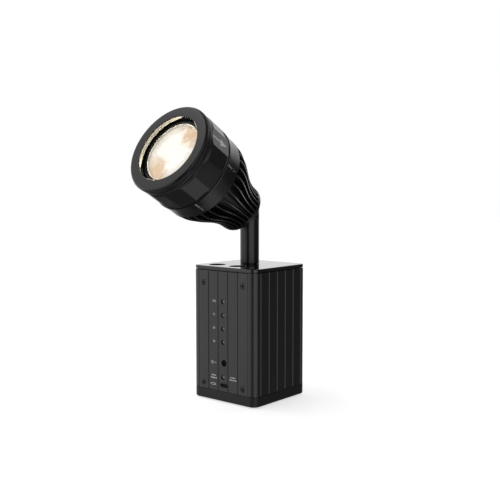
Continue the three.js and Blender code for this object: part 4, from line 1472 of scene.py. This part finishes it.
class FOLLOWSPOT_OT_zoom_marks(bpy.types.Operator):
    """Prints the marks that the barrel's arrow points to"""

    bl_idname = "followspot.zoom_marks"
    bl_label = "Zoom marks"

    def execute(self, context):
        marks = []
        lean = Matrix.Rotation(math.atan2(0.74, 6.5), 4, "Y")
        to_band = Matrix.Translation(Vector((BAND_R + 0.41, 0, 86.4)) * MM)
        for angle, spread in zip(ZOOM_MARKS, (22, 12, 34)):
            dash = block((-0.5, -0.85, -3.25), (INK, 0.85, 3.25))
            marks.append(spun(placed(dash, to_band @ lean), angle))
            marks += cone_mark(angle, 78.3, spread)
        hand_over(in_head(joined(marks)), "zoom_marks", "head", (), "faint_print")
        return {"FINISHED"}


# ---------------------------------------------------------------- barrel and bezel


class FOLLOWSPOT_OT_barrel(bpy.types.Operator):
    """Builds the faceted zoom barrel"""

    bl_idname = "followspot.barrel"
    bl_label = "Zoom barrel"

    def execute(self, context):
        chamfer = 2.3
        barrel = lathe([
            (36.5, BARREL_REAR), (BARREL_R - 1.0, BARREL_REAR), (BARREL_R - 0.4, BARREL_REAR + 0.4),
            (BARREL_R, BARREL_REAR + 1.5), (BARREL_R, BARREL_FRONT - chamfer),
            (BARREL_R - 0.8, BARREL_FRONT - 0.3), (BARREL_R - 1.1, BARREL_FRONT),
            (37.5, BARREL_FRONT), (37.5, 107.7), (36.5, 107.7),
        ], 192)
        for k in range(FACET_PAIRS):
            wide = ARROW_ANGLE + k * 360 / FACET_PAIRS
            cutter = block((WIDE_FLAT, -9.5, BARREL_REAR - 1), (44, 9.5, BARREL_FRONT + 1))
            carve(barrel, spun(cutter, wide))
            cutter = block((NARROW_FLAT, -7.6, BARREL_REAR + 1.5), (44, 7.6, BARREL_FRONT - chamfer))
            carve(barrel, spun(cutter, wide + 180 / FACET_PAIRS))
        hand_over(
            in_head(barrel), "faceted_barrel", "barrel", ["zoom_barrel"], "anodised_head", 7,
        )
        return {"FINISHED"}


class FOLLOWSPOT_OT_zoom_arrow(bpy.types.Operator):
    """Prints the arrow on the barrel"""

    bl_idname = "followspot.zoom_arrow"
    bl_label = "Zoom arrow"

    def execute(self, context):
        stem, barb, tip, neck, end = 0.85, 3.75, 94.3, 103, 113.2
        outline = [
            (-stem, end), (-stem, neck), (-barb, neck), (0, tip), (barb, neck), (stem, neck), (stem, end),
        ]
        arrow = bridged([[(x, y, s) for y, s in outline] for x in (WIDE_FLAT - 0.05, WIDE_FLAT + INK)])
        hand_over(
            in_head(spun(arrow, ARROW_ANGLE)), "zoom_arrow", "barrel", (), "print",
        )
        return {"FINISHED"}


class FOLLOWSPOT_OT_dust_seal(bpy.types.Operator):
    """Builds the rubber seal in front of the barrel"""

    bl_idname = "followspot.dust_seal"
    bl_label = "Dust seal"

    def execute(self, context):
        seal = ring(37.5, 40.4, BARREL_FRONT + GAP, BARREL_FRONT + 1.1, 128)
        soften(seal, 0.2)
        hand_over(in_head(seal), "seal_ring", "barrel", ["dust_seal"], "rubber")
        return {"FINISHED"}


class FOLLOWSPOT_OT_trim_ring(bpy.types.Operator):
    """Builds the slim ring between the barrel and the bezel"""

    bl_idname = "followspot.trim_ring"
    bl_label = "Trim ring"

    def execute(self, context):
        trim = ring(37.5, 41.2, 116.1, 117.8, 160)
        soften(trim, 0.35, 3)
        hand_over(in_head(trim), "bright_trim", "barrel", ["trim_ring"], "satin_black")
        return {"FINISHED"}


class FOLLOWSPOT_OT_bezel(bpy.types.Operator):
    """Builds the front bezel with its fine grip ribs"""

    bl_idname = "followspot.bezel"
    bl_label = "Front bezel"

    def execute(self, context):
        rib_root = BARREL_R - 0.22
        bezel = lathe([
            (APERTURE_R, 112), (34, 112), (34, 108), (37.2, 108), (37.2, BEZEL_REAR),
            (BARREL_R - 0.35, BEZEL_REAR), (BARREL_R - 0.05, BEZEL_REAR + 0.25),
            (rib_root, BEZEL_REAR + 0.5), (rib_root, BEZEL_REAR + 2.6),
            (BARREL_R - 0.55, BEZEL_REAR + 2.75), (BARREL_R - 0.55, BEZEL_REAR + 3.05),
            (BARREL_R - 0.4, BEZEL_REAR + 3.25), (BARREL_R - 0.5, HEAD_FRONT - 1.25),
            (BARREL_R - 0.66, HEAD_FRONT - 1.02), (BARREL_R - 1.6, HEAD_FRONT - 0.08),
            (BARREL_R - 1.85, HEAD_FRONT), (APERTURE_R + 0.75, HEAD_FRONT),
            (APERTURE_R + 0.3, HEAD_FRONT - 0.12), (APERTURE_R + 0.05, HEAD_FRONT - 0.45),
            (APERTURE_R, HEAD_FRONT - 0.9),
        ], 192)
        bezel.data.materials.append(MATERIALS["satin_black"])
        bezel.data.materials.append(MATERIALS["polished_bore"])
        for polygon in bezel.data.polygons:
            if polygon.center.xy.length < (APERTURE_R + 0.02) * MM:
                polygon.material_index = 1
        rib = bridged([
            [(rib_root - 0.1, -0.4, s), (rib_root + 0.02, -0.4, s), (BARREL_R, -0.12, s), (BARREL_R, 0.12, s),
             (rib_root + 0.02, 0.4, s), (rib_root - 0.1, 0.4, s)]
            for s in (BEZEL_REAR + 0.45, BEZEL_REAR + 2.65)
        ])
        ribs = copies_in_circle(rib, context.scene.followspot_head.rib_count, 0, MATERIALS["satin_black"])
        whole = joined([bezel, ribs])
        hand_over(in_head(whole), "front_rim", "barrel", ["front_bezel"], angle=28)
        return {"FINISHED"}


# ---------------------------------------------------------------- lens


class FOLLOWSPOT_OT_lens_carrier(bpy.types.Operator):
    """Builds the tube that carries the lens"""

    bl_idname = "followspot.lens_carrier"
    bl_label = "Lens carrier"

    def execute(self, context):
        carrier = lathe([
            (CLEAR_R, 95.5), (CARRIER_R, 95.5), (CARRIER_R, LENS_SEAT), (LENS_R + GAP, LENS_SEAT),
            (LENS_R + GAP, LENS_BACK), (CLEAR_R, LENS_BACK),
        ], 128)
        carve(carrier, rod("x", 1.8, -35, 35, (0, GUIDE_STATION), 24))
        hand_over(in_head(carrier), "lens_cell", "lens", ["lens_carrier"], "satin_black")
        return {"FINISHED"}


class FOLLOWSPOT_OT_lens(bpy.types.Operator):
    """Builds the domed lens with its blackened edge"""

    bl_idname = "followspot.lens"
    bl_label = "Lens"

    def execute(self, context):
        sag = 3.4
        radius = (CLEAR_R ** 2 + sag ** 2) / (2 * sag)
        steps = 24
        dome = []
        for k in range(steps + 1):
            r = CLEAR_R * (1 - k / steps)
            dome.append((r, LENS_SEAT - radius + sag + math.sqrt(radius ** 2 - r ** 2)))
        glass = lathe([
            (0, LENS_BACK + 0.3), (LENS_R - 0.3, LENS_BACK + 0.3), (LENS_R, LENS_BACK + 0.6),
            (LENS_R, LENS_SEAT - 0.3), (LENS_R - 0.3, LENS_SEAT), *dome,
        ], 128)
        glass.data.materials.append(MATERIALS["lens_glass"])
        glass.data.materials.append(MATERIALS["satin_black"])
        for polygon in glass.data.polygons:
            if polygon.center.xy.length > (LENS_R - 0.1) * MM:
                polygon.material_index = 1
        hand_over(in_head(glass), "lens_dome", "lens", ["front_lens"], angle=40)
        return {"FINISHED"}


class FOLLOWSPOT_OT_lit_face(bpy.types.Operator):
    """Builds the lit face that shows through the lens"""

    bl_idname = "followspot.lit_face"
    bl_label = "Lit face"

    def execute(self, context):
        back, front = LENS_BACK + 0.05, LENS_BACK + 0.2
        lit = lathe([(0, back), (LIT_R, back), (LIT_R, front), (0, front)])
        hand_over(in_head(lit), "lit_face", "lens", (), "lamp_glow")
        return {"FINISHED"}


class FOLLOWSPOT_OT_lens_ring(bpy.types.Operator):
    """Builds the ring that holds the lens"""

    bl_idname = "followspot.lens_ring"
    bl_label = "Lens ring"

    def execute(self, context):
        ring_low, ring_high = LENS_SEAT + GAP, 117
        keeper = lathe([
            (CLEAR_R + 1, ring_low), (CARRIER_R, ring_low), (CARRIER_R, ring_high - 0.3),
            (CARRIER_R - 0.3, ring_high), (CLEAR_R + 2, ring_high), (CLEAR_R + 1, ring_low + 0.35),
        ], 128)
        hand_over(in_head(keeper), "lens_keeper", "lens", ["lens_ring"], "satin_black")
        return {"FINISHED"}


# ---------------------------------------------------------------- studio


def studio_world(softbox):
    """Soft walls of light round the lamp, with darker gaps between them, and a pale backdrop."""
    world = bpy.data.worlds.new("studio")
    world.use_nodes = True
    tree = world.node_tree
    tree.nodes.clear()
    link = tree.links.new
    place = tree.nodes.new("ShaderNodeTexCoord")
    axes = tree.nodes.new("ShaderNodeSeparateXYZ")
    link(place.outputs["Generated"], axes.inputs["Vector"])
    front = math_node(tree, "MULTIPLY", axes.outputs["Y"], -1.0)
    turn = math_node(tree, "ARCTAN2", axes.outputs["X"], front)
    share = math_node(tree, "MULTIPLY_ADD", turn, 1 / (2 * math.pi), 0.5)

    def walls(stops):
        """A ring of light from (degrees round from -Y, brightness) stops."""
        ramp = tree.nodes.new("ShaderNodeValToRGB")
        ramp.color_ramp.interpolation = "EASE"
        elements = ramp.color_ramp.elements
        while len(elements) < len(stops):
            elements.new(0.5)
        for element, (degrees, light) in zip(elements, stops):
            element.position = (degrees + 180) / 360
            element.color = (light, light, light, 1)
        link(share, ramp.inputs["Fac"])
        return ramp.outputs["Color"]

    level = walls([
        (-180, 0.92), (-150, 0.92), (-112, 0.75), (-100, 0.8), (-5, 0.82), (8, 0.02), (29, 0.02),
        (38, 0.95), (86, 0.95), (99, 0.06), (166, 0.06), (180, 0.9),
    ])
    high = walls([
        (-180, 1.0), (-112, 0.7), (-100, 0.75), (-30, 0.75), (-10, 0.2), (30, 0.08), (44, 0.5), (96, 0.5),
        (108, 0.06), (150, 0.06), (160, 0.8), (180, 1.0),
    ])

    # Each mix below takes over as the direction climbs, from straight down to straight up.
    height = axes.outputs["Z"]
    side = smooth_step(tree, axes.outputs["X"], -0.15, 0.4)
    under = mix_colour(tree, side, (0.09, 0.09, 0.09), (0.55, 0.55, 0.55))
    low = mix_colour(tree, side, (0.1, 0.1, 0.1), (0.22, 0.22, 0.22))
    floor_light = mix_colour(tree, smooth_step(tree, height, -0.8, -0.6), under, low)
    upper = mix_colour(tree, smooth_step(tree, height, 0.12, 0.3), level, high)
    lid = mix_colour(tree, smooth_step(tree, height, 0.66, 0.8), upper, (0.16, 0.16, 0.16))
    whole = mix_colour(tree, smooth_step(tree, height, -0.5, -0.25), floor_light, lid)
    light = tree.nodes.new("ShaderNodeBackground")
    light.inputs["Strength"].default_value = softbox
    link(whole, light.inputs["Color"])
    backdrop = tree.nodes.new("ShaderNodeBackground")
    backdrop.inputs["Color"].default_value = (1, 1, 1, 1)
    seen = tree.nodes.new("ShaderNodeLightPath")
    choose = tree.nodes.new("ShaderNodeMixShader")
    output = tree.nodes.new("ShaderNodeOutputWorld")
    link(seen.outputs["Is Camera Ray"], choose.inputs["Fac"])
    link(light.outputs["Background"], choose.inputs[1])
    link(backdrop.outputs["Background"], choose.inputs[2])
    link(choose.outputs["Shader"], output.inputs["Surface"])
    return world


def pale_floor():
    """A wide floor that glows a little, so it stays pale, and that glossy pieces do not mirror."""
    reach, depth = 4000, 4
    floor = block((-reach, -reach, -depth), (reach, reach, 0))
    floor.name = "floor"
    material = bpy.data.materials.new("floor_paint")
    material.use_nodes = True
    shader = material.node_tree.nodes["Principled BSDF"]
    shader.inputs["Base Color"].default_value = (0.9, 0.9, 0.9, 1)
    shader.inputs["Roughness"].default_value = 0.9
    shader.inputs["Emission Color"].default_value = (1, 1, 1, 1)
    shader.inputs["Emission Strength"].default_value = 0.62
    floor.data.materials.append(material)
    floor.visible_glossy = False


class FOLLOWSPOT_OT_stage(bpy.types.Operator):
    """Sets the floor, the soft light and the camera"""

    bl_idname = "followspot.stage"
    bl_label = "Studio"

    def execute(self, context):
        scene = context.scene
        settings = scene.followspot_studio
        scene.view_settings.view_transform = "Standard"
        scene.world = studio_world(settings.softbox)
        pale_floor()
        data = bpy.data.cameras.new("camera")
        data.lens = settings.lens
        data.clip_start, data.clip_end = 0.01, 50
        camera = bpy.data.objects.new("camera", data)
        scene.collection.objects.link(camera)
        camera.location = settings.place
        camera.rotation_euler = (math.pi / 2 - settings.dip, 0, settings.azimuth)
        scene.camera = camera
        lamp = bpy.data.lights.new("soft_top", "AREA")
        lamp.shape = "RECTANGLE"
        lamp.size, lamp.size_y = 1.2, 0.8
        lamp.energy = 6
        top = bpy.data.objects.new("soft_top", lamp)
        scene.collection.objects.link(top)
        top.location = (-0.5, -0.5, 1.5)
        top.rotation_euler = (Vector((0, 0, 0.15)) - top.location).to_track_quat("-Z", "Y").to_euler()
        top.visible_camera = False
        return {"FINISHED"}


# ---------------------------------------------------------------- add-on


OPERATORS = (
    FOLLOWSPOT_OT_finishes,
    FOLLOWSPOT_OT_housing,
    FOLLOWSPOT_OT_panel,
    FOLLOWSPOT_OT_top_plate,
    FOLLOWSPOT_OT_bottom_cap,
    FOLLOWSPOT_OT_foot_pad,
    FOLLOWSPOT_OT_panel_screws,
    FOLLOWSPOT_OT_bottom_screws,
    FOLLOWSPOT_OT_stub_screws,
    FOLLOWSPOT_OT_lamps,
    FOLLOWSPOT_OT_power_button,
    FOLLOWSPOT_OT_top_buttons,
    FOLLOWSPOT_OT_charging_socket,
    FOLLOWSPOT_OT_marks,
    FOLLOWSPOT_OT_post,
    FOLLOWSPOT_OT_pan_ring,
    FOLLOWSPOT_OT_pan_nut,
    FOLLOWSPOT_OT_stub,
    FOLLOWSPOT_OT_tilt_bolt,
    FOLLOWSPOT_OT_tilt_nut,
    FOLLOWSPOT_OT_tilt_washer,
    FOLLOWSPOT_OT_heat_sink,
    FOLLOWSPOT_OT_index_band,
    FOLLOWSPOT_OT_zoom_marks,
    FOLLOWSPOT_OT_barrel,
    FOLLOWSPOT_OT_zoom_arrow,
    FOLLOWSPOT_OT_dust_seal,
    FOLLOWSPOT_OT_trim_ring,
    FOLLOWSPOT_OT_bezel,
    FOLLOWSPOT_OT_lens_carrier,
    FOLLOWSPOT_OT_lens,
    FOLLOWSPOT_OT_lit_face,
    FOLLOWSPOT_OT_lens_ring,
    FOLLOWSPOT_OT_stage,
)


class FOLLOWSPOT_PT_panel(bpy.types.Panel):
    """Lists the lamp's pieces and their settings"""

    bl_label = "Follow spot"
    bl_space_type = "VIEW_3D"
    bl_region_type = "UI"
    bl_category = "Follow spot"

    def draw(self, context):
        for group in ("followspot_base", "followspot_head", "followspot_studio"):
            settings = getattr(context.scene, group)
            for name in settings.__annotations__:
                self.layout.prop(settings, name)
        for operator in OPERATORS:
            self.layout.operator(operator.bl_idname)


SETTINGS = {
    "followspot_base": BaseSettings,
    "followspot_head": HeadSettings,
    "followspot_studio": StudioSettings,
}


def register():
    for name, group in SETTINGS.items():
        bpy.utils.register_class(group)
        setattr(bpy.types.Scene, name, PointerProperty(type=group))
    for cls in (*OPERATORS, FOLLOWSPOT_PT_panel):
        bpy.utils.register_class(cls)


def unregister():
    for cls in (FOLLOWSPOT_PT_panel, *reversed(OPERATORS)):
        bpy.utils.unregister_class(cls)
    for name, group in SETTINGS.items():
        delattr(bpy.types.Scene, name)
        bpy.utils.unregister_class(group)


def main():
    register()
    for operator in OPERATORS:
        family, name = operator.bl_idname.split(".")
        getattr(getattr(bpy.ops, family), name)()


if __name__ == "__main__":
    main()
